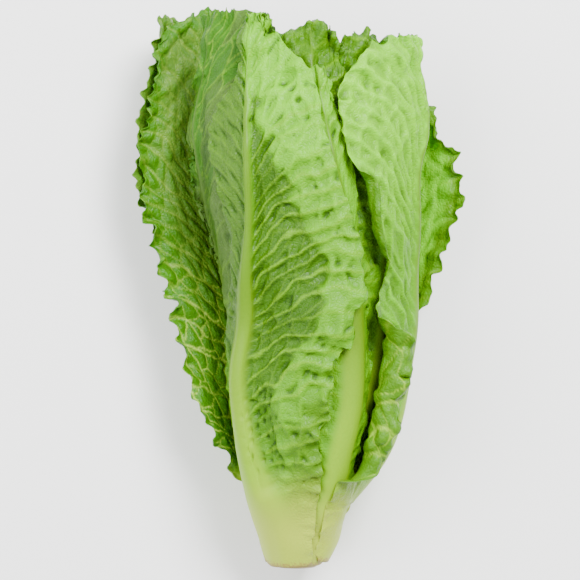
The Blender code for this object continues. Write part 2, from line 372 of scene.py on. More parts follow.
def bumps(side: np.ndarray, up: np.ndarray, length: float, seed: int) -> np.ndarray:
    """A smooth random surface between about -1 and 1, from plane waves.

    Args:
        side: the places to the side.
        up: the places upwards.
        length: about how long the waves are.
        seed: which surface it is.

    Returns:
        The surface's value at each place.
    """
    random = np.random.default_rng(seed)
    total = np.zeros(np.shape(side))
    for _ in range(WAVES):
        direction = random.uniform(0, 2 * math.pi)
        size = length * random.uniform(0.7, 1.6)
        phase = random.uniform(0, 2 * math.pi)
        wave = (side * math.cos(direction) + up * math.sin(direction)) * 2 * math.pi / size
        total = total + np.sin(wave + phase)
    return total / WAVES_HEIGHT


# --------------------------------------------------------------------------------------------
# What a leaf is
# --------------------------------------------------------------------------------------------


@dataclass(frozen=True)
class LeafFinish:
    """The colours and the shine of a leaf.

    low, middle and top colour the outer face by height, and the top colour of the plain and the
    right wrapper finishes is painted sheen.  The colour of the blade sunk between its veins is
    painted shade, the hollow colour is painted shade in the trough beside its rib, and frill
    colours its free margins.  The inner face has a colour, veins and blisters of its own, and a
    centre in its upper part; on the outer leaves the centre is painted sheen, and the blister
    colour is painted sheen where it is paler than the face.  Each share says how far a colour
    covers: the painted shade of the sunk blade, the veins, the bright panes near the tip and the
    painted shade in the dents.
    glow is the share of the light that goes through the leaf's skin.
    """

    name: str
    top: Colour
    middle: Colour
    low: Colour
    valley_shade: Colour
    hollow: Colour
    vein: Colour
    rib_top: Colour
    rib_low: Colour
    cream: Colour
    frill: Colour
    inner: Colour
    inner_vein: Colour
    inner_blister: Colour
    inner_centre: Colour
    valley_shade_share: float = 0.55
    vein_share: float = 0.80
    window_share: float = 0.0
    pit_shade_share: float = 0.55
    roughness: float = 0.42
    glow: float = 0.12


@dataclass(frozen=True)
class Margin:
    """The teeth and the ruffles along a leaf's free edge.

    tooth is how far the teeth stand out and tooth_length how far apart they are.  left, right and
    top are the heights of the ruffles along each edge, and length is the length of their waves.
    """

    seed: int
    tooth: float = 1.6
    tooth_length: float = 7.0
    left: Curve = curve((0, 0.4), (60, 1.2), (140, 1.4), (280, 1.6))
    right: Curve = curve((0, 0.4), (60, 1.2), (140, 1.4), (280, 1.6))
    top: float = 1.8
    length: float = 13.0


@dataclass(frozen=True)
class Relief:
    """The veins of a leaf, as the Geometry Nodes tree takes them.

    spacing is the distance between lateral veins and climb how far they rise towards the margin.
    cell is the width of the net's cells, depth how far the blade sinks between the veins, swell the
    height of its swellings, and pits the share of the dents that is kept.
    """

    seed: float
    spacing: float = 7.5
    climb: float = 30.0
    depth: float = 1.8
    cell: float = 6.5
    swell: float = 1.6
    pits: float = 1.0


@dataclass(frozen=True)
class Curl:
    """A length of margin that rolls outwards.

    side is -1 for the left margin and 1 for the right, start is the share of the way from the rib
    to the margin at which the roll begins, and angle is how far it rolls over.
    """

    side: int
    heights: tuple[float, float, float, float]
    start: float
    angle: float


@dataclass(frozen=True)
class Leaf:
    """One leaf of the head, named after the CAD node that it stands for.

    base and tip are heights.  drop is how far the top edge falls to the left and to the right
    margin, and heel how far the foot rises there.  The reaches are the least ones: the leaves that
    lie inside can push a leaf outwards.  hollow is the width of the trough beside the rib, which
    the finish paints with shade.  The side of painted shade is -1 where the left half of the blade
    is less quilted, has more dents and is painted in shade.  bulge is the height of the blade's
    broad swellings, clearance the least gap to the ground, and room the extra gap to the leaves
    that lie inside.
    """

    name: str
    slot: str
    base: float
    tip: float
    rib: Line
    left: Line
    right: Line
    rib_reach: Curve
    left_reach: Curve
    right_reach: Curve
    drop: tuple[float, float]
    finish: LeafFinish
    margin: Margin
    relief: Relief
    rib_width: Curve = curve((0, 16), (40, 13), (90, 7), (150, 3.4), (200, 2.0), (280, 0.9))
    rib_depth: Curve = curve((0, 1.2), (35, 3.4), (90, 3.6), (150, 2.4), (210, 1.4), (280, 0.5))
    crown_power: float = 2.0
    heel: tuple[float, float] = (2.0, 2.0)
    hollow: Curve = curve((0, 0.0))
    matte_shade_side: int = 0
    left_frill: Curve = curve((0, 0.25))
    right_frill: Curve = curve((0, 0.25))
    frill_width: Curve = curve((0, 8.0))
    curls: tuple[Curl, ...] = ()
    bulge: float = 2.0
    clearance: float = 0.6
    room: float = 0.0
    rows: int = 150
    columns: int = 72

    def lines(
        self, height: np.ndarray, reaches: np.ndarray | None = None
    ) -> tuple[np.ndarray, ...]:
        """The turns of the rib, the left margin and the right margin.

        Args:
            height: the heights to read.
            reaches: the grid of reaches that the leaf has been laid at, once it has been.

        Returns:
            The three turns at each height.
        """
        found = []
        tables = (self.rib_reach, self.left_reach, self.right_reach)
        for line, table in zip((self.rib, self.left, self.right), tables):
            reach = table.at(height)
            turn = line.turn(height, reach)
            if reaches is not None and line.measure is Measure.ABOVE:
                for _ in range(4):
                    reach = 0.5 * (reach + read_grid(reaches, height, turn))
                    turn = line.turn(height, reach)
            found.append(turn)
        return tuple(found)

    def crown(self, across: np.ndarray) -> np.ndarray:
        """The height of the top edge. across runs from -1 at the left margin to 1."""
        drop = np.where(across < 0, self.drop[0], self.drop[1])
        return self.tip - drop * np.abs(across) ** self.crown_power

    def wanted(self, height: np.ndarray, across: np.ndarray) -> np.ndarray:
        """The reach that the leaf would have with nothing inside it.

        Args:
            height: the heights to read.
            across: the shares of the way across.

        Returns:
            The reach at each place.
        """
        rib = self.rib_reach.at(height)
        side = np.where(across < 0, self.left_reach.at(height), self.right_reach.at(height))
        return rib + (side - rib) * np.minimum(np.abs(across), 1.5) ** 2

    def ridge(self, height: np.ndarray, side: np.ndarray) -> np.ndarray:
        """The rib's section: 1 on its middle line, falling to 0 beside it."""
        width = self.rib_width.at(height)
        return np.exp(-RIDGE_FALL * np.abs(side / width) ** RIDGE_POWER)

    def thickness(self, height: np.ndarray, side: np.ndarray) -> np.ndarray:
        """The leaf's thickness at so many millimetres to the side of its rib."""
        return BLADE + self.rib_depth.at(height) * self.ridge(height, side)


# --------------------------------------------------------------------------------------------
# Laying the leaves over one another
# --------------------------------------------------------------------------------------------


class Drape:
    """Lays leaves over the core in turn, so that each rests on what is already there."""

    # The core is a cone, and past its height only the growing point takes room.
    CORE_HEIGHT = 60.0
    CORE_RADIUS = 11.3
    CORE_TAPER = 0.145
    GROWING_POINT = 2.0
    # The gap to the leaf inside: at the foot, what it gains, and the heights where it gains it.
    FOOT_GAP = 0.25
    GAP = 1.0
    GAP_OPENS = (20.0, 80.0)
    # How far a place has to face down before the ground pushes a leaf up there.
    FACES_DOWN = 0.1
    # How rounded the bend is where a leaf comes to rest on another, as a reach.
    SOFTNESS = 0.02

    def __init__(self) -> None:
        """Starts with the bare core."""
        self.height, self.turn = np.meshgrid(HEIGHTS, TURNS.astype(float), indexing="ij")
        self.radius = HEAD.radius(self.height, self.turn)
        cone = self.CORE_RADIUS - self.CORE_TAPER * self.height
        core = np.where(self.height < self.CORE_HEIGHT, cone, self.GROWING_POINT)
        self.filled = core / self.radius
        self.down = -np.cos(np.radians(self.turn))

    def lay(self, leaf: Leaf) -> np.ndarray:
        """Lays one leaf.

        Args:
            leaf: the leaf to lay.

        Returns:
            The reach of its inner face on the grid of heights and turns.
        """
        gap = self.FOOT_GAP + (self.GAP + leaf.room) * rise(self.height, *self.GAP_OPENS)
        under = blurred(widened(self.filled, 4, 4), 4, 3) + gap / self.radius
        below = HEAD.half_depth.at(self.height) * np.maximum(self.down, self.FACES_DOWN)
        reach = None
        for _ in range(2):
            rib, left, right = leaf.lines(self.height, reach)
            offset = (self.turn - rib + 180) % 360 - 180
            across = offset / np.where(offset < 0, np.abs(rib - left), np.abs(right - rib))
            depth = leaf.thickness(self.height, np.radians(offset) * self.radius)
            wanted = leaf.wanted(self.height, across)
            lowest = (HEAD.axis_z.at(self.height) - GROUND - depth - leaf.clearance) / below
            wanted = np.where(self.down > self.FACES_DOWN, np.minimum(wanted, lowest), wanted)
            reach = smooth_max(under, wanted, self.SOFTNESS)
        covered = (np.abs(across) < 1.0) & (self.height > leaf.base - HEIGHT_STEP)
        covered &= self.height < leaf.crown(across) + HEIGHT_STEP
        top = reach + depth / self.radius
        self.filled = np.where(covered, np.maximum(self.filled, top), self.filled)
        return reach


# --------------------------------------------------------------------------------------------
# Node graphs
# --------------------------------------------------------------------------------------------


class Graph:
    """Adds nodes to a tree with short calls. Each call returns the new node's output."""

    def __init__(self, tree: bpy.types.NodeTree) -> None:
        """Starts with an empty tree."""
        self.tree = tree
        tree.nodes.clear()

    def add(self, kind: str, **settings: object) -> bpy.types.Node:
        """Adds a node and sets its own properties.

        Args:
            kind: the node's type.
            **settings: its own properties.

        Returns:
            The node.
        """
        node = self.tree.nodes.new(kind)
        for name, value in settings.items():
            setattr(node, name, value)
        return node

    def plug(self, socket: bpy.types.NodeSocket, value: object) -> None:
        """Links a socket to an output, or sets it to a constant.

        Args:
            socket: the socket to fill.
            value: an output or a constant.
        """
        if isinstance(value, bpy.types.NodeSocket):
            self.tree.links.new(value, socket)
        else:
            socket.default_value = value

    def attribute(self, name: str) -> bpy.types.NodeSocket:
        """A number that a material reads from the mesh."""
        return self.add("ShaderNodeAttribute", attribute_name=name).outputs["Fac"]

    def math(self, operation: str, *values: object) -> bpy.types.NodeSocket:
        """One Math node.

        Args:
            operation: what the node does.
            *values: what it does it to.

        Returns:
            The node's result.
        """
        node = self.add("ShaderNodeMath", operation=operation)
        for socket, value in zip(node.inputs, values):
            self.plug(socket, value)
        return node.outputs[0]

    def rise(self, value: object, low: float, high: float, top: object = 1.0) -> object:
        """Goes smoothly from 0 at low to top at high.

        Args:
            value: what is read.
            low: where the rise begins.
            high: where it ends. It may be less than low.
            top: what it rises to.

        Returns:
            The node's result.
        """
        node = self.add("ShaderNodeMapRange", interpolation_type="SMOOTHSTEP")
        for name, given in (
            ("Value", value), ("From Min", low), ("From Max", high), ("To Max", top),
        ):
            self.plug(node.inputs[name], given)
        return node.outputs["Result"]

    def scaled(self, vector: object, size: object) -> bpy.types.NodeSocket:
        """A vector or a colour, multiplied by a number.

        Args:
            vector: the vector or the colour.
            size: the number.

        Returns:
            The product.
        """
        node = self.add("ShaderNodeVectorMath", operation="SCALE")
        self.plug(node.inputs[0], vector)
        self.plug(node.inputs["Scale"], size)
        return node.outputs[0]

    def vector(self, x: object, y: object, z: object = 0.0) -> bpy.types.NodeSocket:
        """A vector from three numbers.

        Args:
            x: the first number.
            y: the second.
            z: the third.

        Returns:
            The vector.
        """
        node = self.add("ShaderNodeCombineXYZ")
        for socket, value in zip(node.inputs, (x, y, z)):
            self.plug(socket, value)
        return node.outputs[0]

    def noise(self, place: object, scale: float, detail: float = 2.0) -> bpy.types.NodeSocket:
        """Noise between 0 and 1.

        Args:
            place: where it is read.
            scale: how many waves go to one unit.
            detail: how many finer layers it has.

        Returns:
            The noise.
        """
        node = self.add("ShaderNodeTexNoise")
        self.plug(node.inputs["Vector"], place)
        node.inputs["Scale"].default_value = scale
        node.inputs["Detail"].default_value = detail
        return node.outputs[0]

    def cells(self, place: object, randomness: float = 1.0) -> bpy.types.NodeSocket:
        """The distance to the nearest wall of a net of cells one unit wide.

        Args:
            place: where it is read.
            randomness: 0 for square cells and 1 for the most uneven ones.

        Returns:
            The distance.
        """
        node = self.add(
            "ShaderNodeTexVoronoi", feature="DISTANCE_TO_EDGE", voronoi_dimensions="2D"
        )
        self.plug(node.inputs["Vector"], place)
        node.inputs["Scale"].default_value = 1.0
        node.inputs["Randomness"].default_value = randomness
        return node.outputs["Distance"]

    def spots(
        self, place: object, randomness: float, output: str = "Distance"
    ) -> bpy.types.NodeSocket:
        """The distance to the nearest of a field of spots one unit apart, or its own tone.

        Args:
            place: where it is read.
            randomness: 0 for spots in rows and 1 for the most scattered ones.
            output: Distance for the distance, or Color for the spot's own tone.

        Returns:
            The distance or the tone.
        """
        node = self.add("ShaderNodeTexVoronoi", feature="F1", voronoi_dimensions="2D")
        self.plug(node.inputs["Vector"], place)
        node.inputs["Scale"].default_value = 1.0
        node.inputs["Randomness"].default_value = randomness
        return node.outputs[output]

    def blend(self, share: object, first: object, second: object) -> bpy.types.NodeSocket:
        """Mixes two colours.

        Args:
            share: the share of the second colour.
            first: the first colour.
            second: the second colour.

        Returns:
            The mixed colour.
        """
        node = self.add("ShaderNodeMix", data_type="RGBA")
        colours = [socket for socket in node.inputs if socket.type == "RGBA"]
        self.plug(node.inputs["Factor"], share)
        for socket, value in zip(colours, (first, second)):
            self.plug(socket, (*value, 1.0) if isinstance(value, tuple) else value)
        return next(socket for socket in node.outputs if socket.type == "RGBA")


class ReliefTree:
    """The Geometry Nodes tree that gives a leaf its veins.

    Lateral veins leave the rib one spacing apart and climb towards the margin.  A net of cells
    lies between them.  The blade sinks towards the inside of the head between the veins, so the
    same relief reads as raised veins from outside and as blisters from inside.
    """

    INPUTS = ("Spacing", "Climb", "Depth", "Cell", "Swell", "Pits", "Seed")
    SEED_STEP = 13.7
    # Noise scales are for a place in millimetres.  The three lengths say how far noise moves veins.
    DRIFT_SCALE = 0.040
    JITTER_SCALE = 0.22
    SWELL_SCALE = 0.085
    DENT_SCALE = 0.21
    DRIFT_UP = 16.0
    JITTER_UP = 2.2
    JITTER_SIDE = 3.0
    # How a lateral vein climbs: how soon beside the rib, its share at the foot, and the heights
    # between which that share grows, with what it grows by.
    CLIMB_FALL = -0.05
    CLIMB_BASE = 0.35
    CLIMB_GROWS = (20.0, 230.0, 0.9)
    # Laterals leave the rib's two sides in turn, so each side is a quarter of a spacing out.
    IN_TURN = 0.25
    CELL_TALL = 1.25
    # Distances from a vein, or from a wall of the net, over which the blade sinks.
    FOLD_SLOPE = (0.5, 2.7)
    CELL_SLOPE = (0.2, 2.4)
    DENT_SLOPE = (0.4, 1.4)
    # The same for the coloured lines.
    VEIN_EDGE = (0.2, 1.05)
    NET_EDGE = (0.05, 0.65)
    # Laterals are not equally strong: noise for each, read over these ranges.
    STRENGTH_SCALE = 0.6
    STRONG_FOLD = (0.2, 0.6)
    STRONG_LINE = (0.15, 0.55)
    # Scattered dents: how they are drawn out along the laterals, the noise that is deep enough to
    # make one, and what the less quilted half, which is painted in shade, adds to it.
    DENT_STRETCH = (0.7, 1.35)
    DENT_EDGE = (0.55, 0.68)
    MATTE_DENTS = 0.07
    # The shares of the sunk blade that folds, cells and dents give.
    FOLD_SHARE = 0.42
    CELL_SHARE = 0.34
    DENT_SHARE = 0.42
    # The rows of dents in the trough: their places, their size and the heights they run between.
    ROW_WIDTH = 4.2
    ROW_HEIGHT = 6.0
    ROW_SCATTER = 0.4
    ROW_DENT = (0.30, 0.16)
    ROWS_BEGIN = (46.0, 56.0)
    ROWS_END = (100.0, 88.0)

    def __init__(self) -> None:
        """Builds the tree."""
        self.tree = bpy.data.node_groups.new("leaf_veins", "GeometryNodeTree")
        face = self.tree.interface
        face.new_socket("Geometry", in_out="INPUT", socket_type="NodeSocketGeometry")
        for name in self.INPUTS:
            face.new_socket(name, in_out="INPUT", socket_type="NodeSocketFloat")
        face.new_socket("Finish", in_out="INPUT", socket_type="NodeSocketMaterial")
        face.new_socket("Geometry", in_out="OUTPUT", socket_type="NodeSocketGeometry")
        self.graph = Graph(self.tree)
        self._build()

    def _read(self, name: str, kind: str = "FLOAT") -> bpy.types.NodeSocket:
        """An attribute of the leaf.

        Args:
            name: the attribute's name.
            kind: its type.

        Returns:
            The attribute.
        """
        node = self.graph.add("GeometryNodeInputNamedAttribute", data_type=kind)
        node.inputs["Name"].default_value = name
        return node.outputs["Attribute"]

    def _store(self, geometry: object, name: str, value: object) -> bpy.types.NodeSocket:
        """Keeps a number on every point.

        Args:
            geometry: the leaf.
            name: the number's name.
            value: the number.

        Returns:
            The leaf with the number on it.
        """
        node = self.graph.add("GeometryNodeStoreNamedAttribute", data_type="FLOAT")
        node.inputs["Name"].default_value = name
        self.graph.plug(node.inputs["Geometry"], geometry)
        self.graph.plug(node.inputs["Value"], value)
        return node.outputs["Geometry"]

    def _build(self) -> None:
        """Adds every node, from the leaf's attributes to the finished relief."""
        g = self.graph
        given = g.add("NodeGroupInput").outputs
        side, up, free = self._read("side_mm"), self._read("up_mm"), self._read("free")
        shift = g.math("MULTIPLY", given["Seed"], self.SEED_STEP)
        spot = g.vector(side, up, shift)
        jitter = g.math("SUBTRACT", g.noise(spot, self.JITTER_SCALE), 0.5)
        level = self._level(given["Climb"], spot, side, up, jitter)

        turn = g.math("MULTIPLY", g.math("SIGN", side), self.IN_TURN)
        order = g.math("ADD", g.math("DIVIDE", level, given["Spacing"]), turn)
        lateral = g.math("ABSOLUTE", g.math("SUBTRACT", g.math("FRACT", order), 0.5))
        lateral = g.math("MULTIPLY", lateral, given["Spacing"])
        each = g.vector(g.math("MULTIPLY", order, self.STRENGTH_SCALE), turn, shift)
        strength = g.noise(each, 1.0, 0.0)

        bent = g.math("MULTIPLY_ADD", jitter, self.JITTER_SIDE, side)
        across = g.math("ADD", g.math("DIVIDE", bent, given["Cell"]), shift)
        tall = g.math("MULTIPLY", given["Cell"], self.CELL_TALL)
        cell_place = g.vector(across, g.math("DIVIDE", level, tall))
        # The product turns the cell's colour into one number.
        tone = g.math("MULTIPLY", g.spots(cell_place, 1.0, "Color"), 1.0)
        net = g.math("MULTIPLY", g.cells(cell_place), given["Cell"])

        strong = g.rise(strength, *self.STRONG_FOLD)
        fold = g.math("MULTIPLY", g.rise(lateral, *self.FOLD_SLOPE), strong)
        cell = g.rise(net, *self.CELL_SLOPE)
        pit = g.math("MULTIPLY", self._dents(side, level, shift), cell)
        pit = g.math("MULTIPLY", pit, g.rise(lateral, *self.DENT_SLOPE))
        pit = g.math("MULTIPLY", pit, g.rise(free, 0.0, 0.5, given["Pits"]))
        pit = g.math("MAXIMUM", pit, self._dent_rows(side, level, up))
        quilt = g.math("MULTIPLY", fold, self.FOLD_SHARE)
        quilt = g.math("MULTIPLY_ADD", cell, self.CELL_SHARE, quilt)
        quilt = g.math("MULTIPLY", quilt, free)
        quilt = g.math("MULTIPLY_ADD", pit, self.DENT_SHARE, quilt)
        sink = g.math("MULTIPLY", g.math("MULTIPLY", quilt, given["Depth"]), -1.0)
        swell = g.math("SUBTRACT", g.noise(spot, self.SWELL_SCALE, 3.0), 0.5)
        swell = g.math("MULTIPLY", g.math("MULTIPLY", swell, given["Swell"]), free)
        lift = g.math("MULTIPLY", g.math("ADD", sink, swell), MM)

        vein_line = g.math("SUBTRACT", 1.0, g.rise(lateral, *self.VEIN_EDGE))
        vein_line = g.math("MULTIPLY", vein_line, g.rise(strength, *self.STRONG_LINE))
        net_line = g.math("SUBTRACT", 1.0, g.rise(net, *self.NET_EDGE))
        geometry = given["Geometry"]
        for name, value in (
            ("quilt", quilt), ("pit", pit), ("tone", tone),
            ("vein", g.math("MULTIPLY", vein_line, free)),
            ("net", g.math("MULTIPLY", net_line, free)),
        ):
            geometry = self._store(geometry, name, value)
        self._finish(geometry, g.scaled(self._read("outward", "FLOAT_VECTOR"), lift), given)

    def _level(
        self, climb: object, spot: object, side: object, up: object, jitter: object
    ) -> bpy.types.NodeSocket:
        """The height at which the lateral vein through a place leaves the rib.

        Args:
            climb: how far laterals rise towards the margin.
            spot: the place, moved by the seed.
            side: how far the place lies to the side of the rib.
            up: its height.
            jitter: fine noise about 0.

        Returns:
            The height in millimetres.
        """
        g = self.graph
        drift = g.math("SUBTRACT", g.noise(spot, self.DRIFT_SCALE), 0.5)
        warped = g.math("MULTIPLY_ADD", drift, self.DRIFT_UP, up)
        warped = g.math("MULTIPLY_ADD", jitter, self.JITTER_UP, warped)
        fall = g.math("EXPONENT", g.math("MULTIPLY", g.math("ABSOLUTE", side), self.CLIMB_FALL))
        outwards = g.math("SUBTRACT", 1.0, fall)
        steep = g.rise(up, *self.CLIMB_GROWS)
        lead = g.math("MULTIPLY", climb, g.math("ADD", steep, self.CLIMB_BASE))
        return g.math("SUBTRACT", warped, g.math("MULTIPLY", lead, outwards))

    def _dents(self, side: object, level: object, shift: object) -> bpy.types.NodeSocket:
        """Scattered dents that run along the laterals, a few more of them on the half painted in
        shade.

        Args:
            side: how far a place lies to the side of the rib.
            level: where its lateral vein leaves the rib.
            shift: the seed's share in the noise.

        Returns:
            1 in a dent, and 0 clear of one.
        """
        g = self.graph
        wide, tall = self.DENT_STRETCH
        place = g.vector(g.math("MULTIPLY", side, wide), g.math("MULTIPLY", level, tall), shift)
        depth = g.noise(place, self.DENT_SCALE, 1.0)
        depth = g.math("MULTIPLY_ADD", self._read("matte"), self.MATTE_DENTS, depth)
        return g.rise(depth, *self.DENT_EDGE)

    def _dent_rows(self, side: object, level: object, up: object) -> bpy.types.NodeSocket:
        """Rows of dents low in the trough beside the rib.

        Args:
            side: how far a place lies to the side of the rib.
            level: where its lateral vein leaves the rib.
            up: its height.

        Returns:
            1 in a dent, and 0 clear of one.
        """
        g = self.graph
        place = g.vector(
            g.math("DIVIDE", side, self.ROW_WIDTH), g.math("DIVIDE", level, self.ROW_HEIGHT)
        )
        row = g.rise(g.spots(place, self.ROW_SCATTER), *self.ROW_DENT)
        row = g.math("MULTIPLY", row, g.rise(up, *self.ROWS_BEGIN))
        row = g.math("MULTIPLY", row, g.rise(up, *self.ROWS_END))
        return g.math("MULTIPLY", row, self._read("hollow"))

    def _finish(self, geometry: object, offset: object, given: object) -> None:
        """Moves the points, makes instances real and sets the material.

        Args:
            geometry: the leaf, with every number stored on it.
            offset: how far each point moves.
            given: the tree's inputs.
        """
        g = self.graph
        moved = g.add("GeometryNodeSetPosition")
        g.plug(moved.inputs["Geometry"], geometry)
        g.plug(moved.inputs["Offset"], offset)
        real = g.add("GeometryNodeRealizeInstances")
        g.plug(real.inputs[0], moved.outputs[0])
        coated = g.add("GeometryNodeSetMaterial")
        g.plug(coated.inputs["Geometry"], real.outputs[0])
        g.plug(coated.inputs["Material"], given["Finish"])
        g.plug(g.add("NodeGroupOutput").inputs["Geometry"], coated.outputs[0])

    def apply(self, obj: bpy.types.Object, relief: Relief, finish: bpy.types.Material) -> None:
        """Runs the tree on a leaf and leaves the leaf as a plain mesh.

        Args:
            obj: the leaf, which must hold the attributes that the tree reads.
            relief: the leaf's veins.
            finish: the leaf's material.
        """
        values = {
            "Spacing": relief.spacing, "Climb": relief.climb, "Depth": relief.depth,
            "Cell": relief.cell, "Swell": relief.swell, "Pits": relief.pits,
            "Seed": relief.seed, "Finish": finish,
        }
        modifier = obj.modifiers.new("veins", "NODES")
        modifier.node_group = self.tree
        for item in self.tree.interface.items_tree:
            if item.in_out == "INPUT" and item.name in values:
                modifier[item.identifier] = values[item.name]
        graph = bpy.context.evaluated_depsgraph_get()
        done = bpy.data.meshes.new_from_object(obj.evaluated_get(graph), depsgraph=graph)
        obj.modifiers.remove(modifier)
        old, obj.data = obj.data, done
        bpy.data.meshes.remove(old)
        done.name = obj.name


# --------------------------------------------------------------------------------------------
# Finishes
# --------------------------------------------------------------------------------------------


def shaded(name: str) -> tuple[bpy.types.Material, Graph]:
    """A new material and the graph of its empty tree.

    Args:
        name: the material's name.

    Returns:
        The two of them.
    """
    material = bpy.data.materials.new(name)
    material.use_nodes = True
    return material, Graph(material.node_tree)


class LeafMaterial:
    """Builds one leaf finish from the numbers that the leaf's mesh holds."""

    # Noise scales, for a place in millimetres.
    PATCH_SCALE = 0.05
    FINE_SCALE = 0.9
    GRAIN_SCALE = 0.55
    # Shares of the leaf's length at which its colours change.  A third number is what the new
    # colour's share comes to, where it is less than 1.
    LOW_TO_MIDDLE = (0.10, 0.50)
    MIDDLE_TO_TOP = (0.50, 0.95)
    TROUGH_SHADE_GROWS = (0.18, 0.42, 0.52)
    STALK_DARKENS = (0.12, 0.62)
    PANES_BEGIN = (0.66, 0.74)
    CENTRE_BEGINS = (0.42, 0.66, 0.85)
    LOWER_ENDS = (0.66, 0.34)
    CREAM_ENDS = (0.20, 0.06)
    CUT_EDGE = (0.012, 0.002, 0.7)
    # Ranges of the mesh's other numbers, in the same way.
    RIB_EDGE = (0.25, 0.85, 0.95)
    OUTER_FRILL = (0.15, 0.75)
    INNER_FRILL = (0.2, 0.8, 0.7)
    CLEAR_OF_FRILL = (0.75, 0.25)
    BLISTERS = (0.4, 1.0, 0.6)
    PANE_TONES = (0.46, 0.52)
    # How far each colour covers the one under it.
    TROUGH_SHADE_SHARE = 0.42
    MATTE_SHADE_SHARE = 0.9
    PANE_EDGE_SHARE = 0.75
    OUTER_NET = 0.30
    INNER_NET = 0.55
    LOWER_PAINTED_LIGHT = 0.6
    PALE_LINES = 0.74
    FAINT_LINES = 0.22
    # The power that makes the pale lines of the inner face thinner.
    THINNED = 2.2
    # The leaf's skin.
    SPECULAR = 0.18
    GLOW_RADIUS = (0.5, 1.0, 0.15)
    GLOW_DEPTH = 0.0025
    BUMP_STRENGTH = 0.42
    BUMP_HEIGHT = 0.00035

    def __init__(self, finish: LeafFinish) -> None:
        """Reads the mesh's numbers into an empty material.

        Args:
            finish: the finish that the material is made for.
        """
        self.finish = finish
        self.material, self.graph = shaded(finish.name)
        g = self.graph
        self.side, self.up, self.along = (g.attribute(n) for n in ("side_mm", "up_mm", "along"))
        self.vein, self.net, self.quilt = (g.attribute(n) for n in ("vein", "net", "quilt"))
        self.rib, self.frill = g.attribute("rib"), g.attribute("frill")
        spot = g.vector(self.side, self.up)
        self.patch = g.noise(spot, self.PATCH_SCALE, 3.0)
        self.fine = g.noise(spot, self.FINE_SCALE, 3.0)

    def build(self) -> bpy.types.Material:
        """Puts the faces, the rib and the foot together.

        Returns:
            The material.
        """
        g, finish = self.graph, self.finish
        colour = g.blend(g.attribute("inner"), self._outer_face(), self._inner_face())
        stalk = g.blend(g.rise(self.along, *self.STALK_DARKENS), finish.rib_low, finish.rib_top)
        colour = g.blend(g.rise(self.rib, *self.RIB_EDGE), colour, stalk)
        ragged = g.math("MULTIPLY", g.math("SUBTRACT", self.fine, 0.5), 0.03)
        foot = g.math("ADD", self.along, ragged)
        colour = g.blend(g.rise(foot, *self.CREAM_ENDS), colour, finish.cream)
        colour = g.blend(g.rise(foot, *self.CUT_EDGE), colour, BROWN)
        tone = g.math("ADD", 0.90, g.math("MULTIPLY", self.fine, 0.20))
        self._skin(g.scaled(colour, tone))
        return self.material

    def _outer_face(self) -> bpy.types.NodeSocket:
        """The underside of the leaf, which faces out of the head.

        Returns:
            The face's colour.
        """
        g, finish = self.graph, self.finish
        uneven = g.math("MULTIPLY", g.math("SUBTRACT", self.patch, 0.5), 0.35)
        height = g.math("ADD", self.along, uneven)
        # Colour by height; the wrappers' top colour is a painted sheen where light catches the
        # upper blade.
        blade = g.blend(g.rise(height, *self.LOW_TO_MIDDLE), finish.low, finish.middle)
        blade = g.blend(g.rise(height, *self.MIDDLE_TO_TOP), blade, finish.top)
        # Painted shade in the trough beside the rib, more of it higher up the leaf.
        shade = g.math("ADD", g.rise(self.along, *self.TROUGH_SHADE_GROWS), self.TROUGH_SHADE_SHARE)
        blade = g.blend(g.math("MULTIPLY", g.attribute("hollow"), shade), blade, finish.hollow)
        # Painted shade over the less quilted half of the blade, the half turned from the light.
        matte = g.math("MULTIPLY", g.attribute("matte"), self.MATTE_SHADE_SHARE)
        blade = g.blend(matte, blade, SHADED)
        blade = g.blend(g.rise(self.frill, *self.OUTER_FRILL), blade, finish.frill)
        # Painted shade on the blade sunk between the veins.
        sunk = g.math("MULTIPLY", self.quilt, finish.valley_shade_share)
        sunk = g.math("MULTIPLY", sunk, g.math("ADD", 0.45, self.patch))
        blade = g.blend(sunk, blade, finish.valley_shade)
        # Painted shade in the dents.
        dents = g.math("MULTIPLY", g.attribute("pit"), finish.pit_shade_share)
        blade = g.blend(dents, blade, SUNK_SHADE)
        if finish.window_share:
            blade = self._panes(blade)
        lines = g.math("MAXIMUM", self.vein, g.math("MULTIPLY", self.net, self.OUTER_NET))
        return g.blend(g.math("MULTIPLY", lines, finish.vein_share), blade, finish.vein)

    def _panes(self, blade: object) -> bpy.types.NodeSocket:
        """Colours whole cells of the net near the tip, each with a yellow edge.

        Args:
            blade: the blade's colour.

        Returns:
            The colour with the panes on it.
        """
        g = self.graph
        high = g.rise(self.along, *self.PANES_BEGIN)
        pane = g.math("MULTIPLY", g.rise(g.attribute("tone"), *self.PANE_TONES), high)
        edge = g.math("MULTIPLY", self.net, pane)
        pane = g.math("MULTIPLY", pane, g.rise(self.net, 0.5, 0.1))
        blade = g.blend(g.math("MULTIPLY", pane, self.finish.window_share), blade, PANE)
        return g.blend(g.math("MULTIPLY", edge, self.PANE_EDGE_SHARE), blade, VEIN)

    def _inner_face(self) -> bpy.types.NodeSocket:
        """The upper side of the leaf, which faces the heart.

        Returns:
            The face's colour.
        """
        g, finish = self.graph, self.finish
        clear = g.rise(self.frill, *self.CLEAR_OF_FRILL)
        # The centre of the upper inner face is a painted sheen on the outer leaves.
        centre = g.math("MULTIPLY", clear, g.rise(self.along, *self.CENTRE_BEGINS))
        lower = g.rise(self.along, *self.LOWER_ENDS)
        # Painted light: the lower inner face is brightened where the lamps reach it only at a
        # grazing angle.
        blade = g.blend(g.math("MULTIPLY", lower, self.LOWER_PAINTED_LIGHT), finish.inner, BRIGHT)
        blade = g.blend(centre, blade, finish.inner_centre)
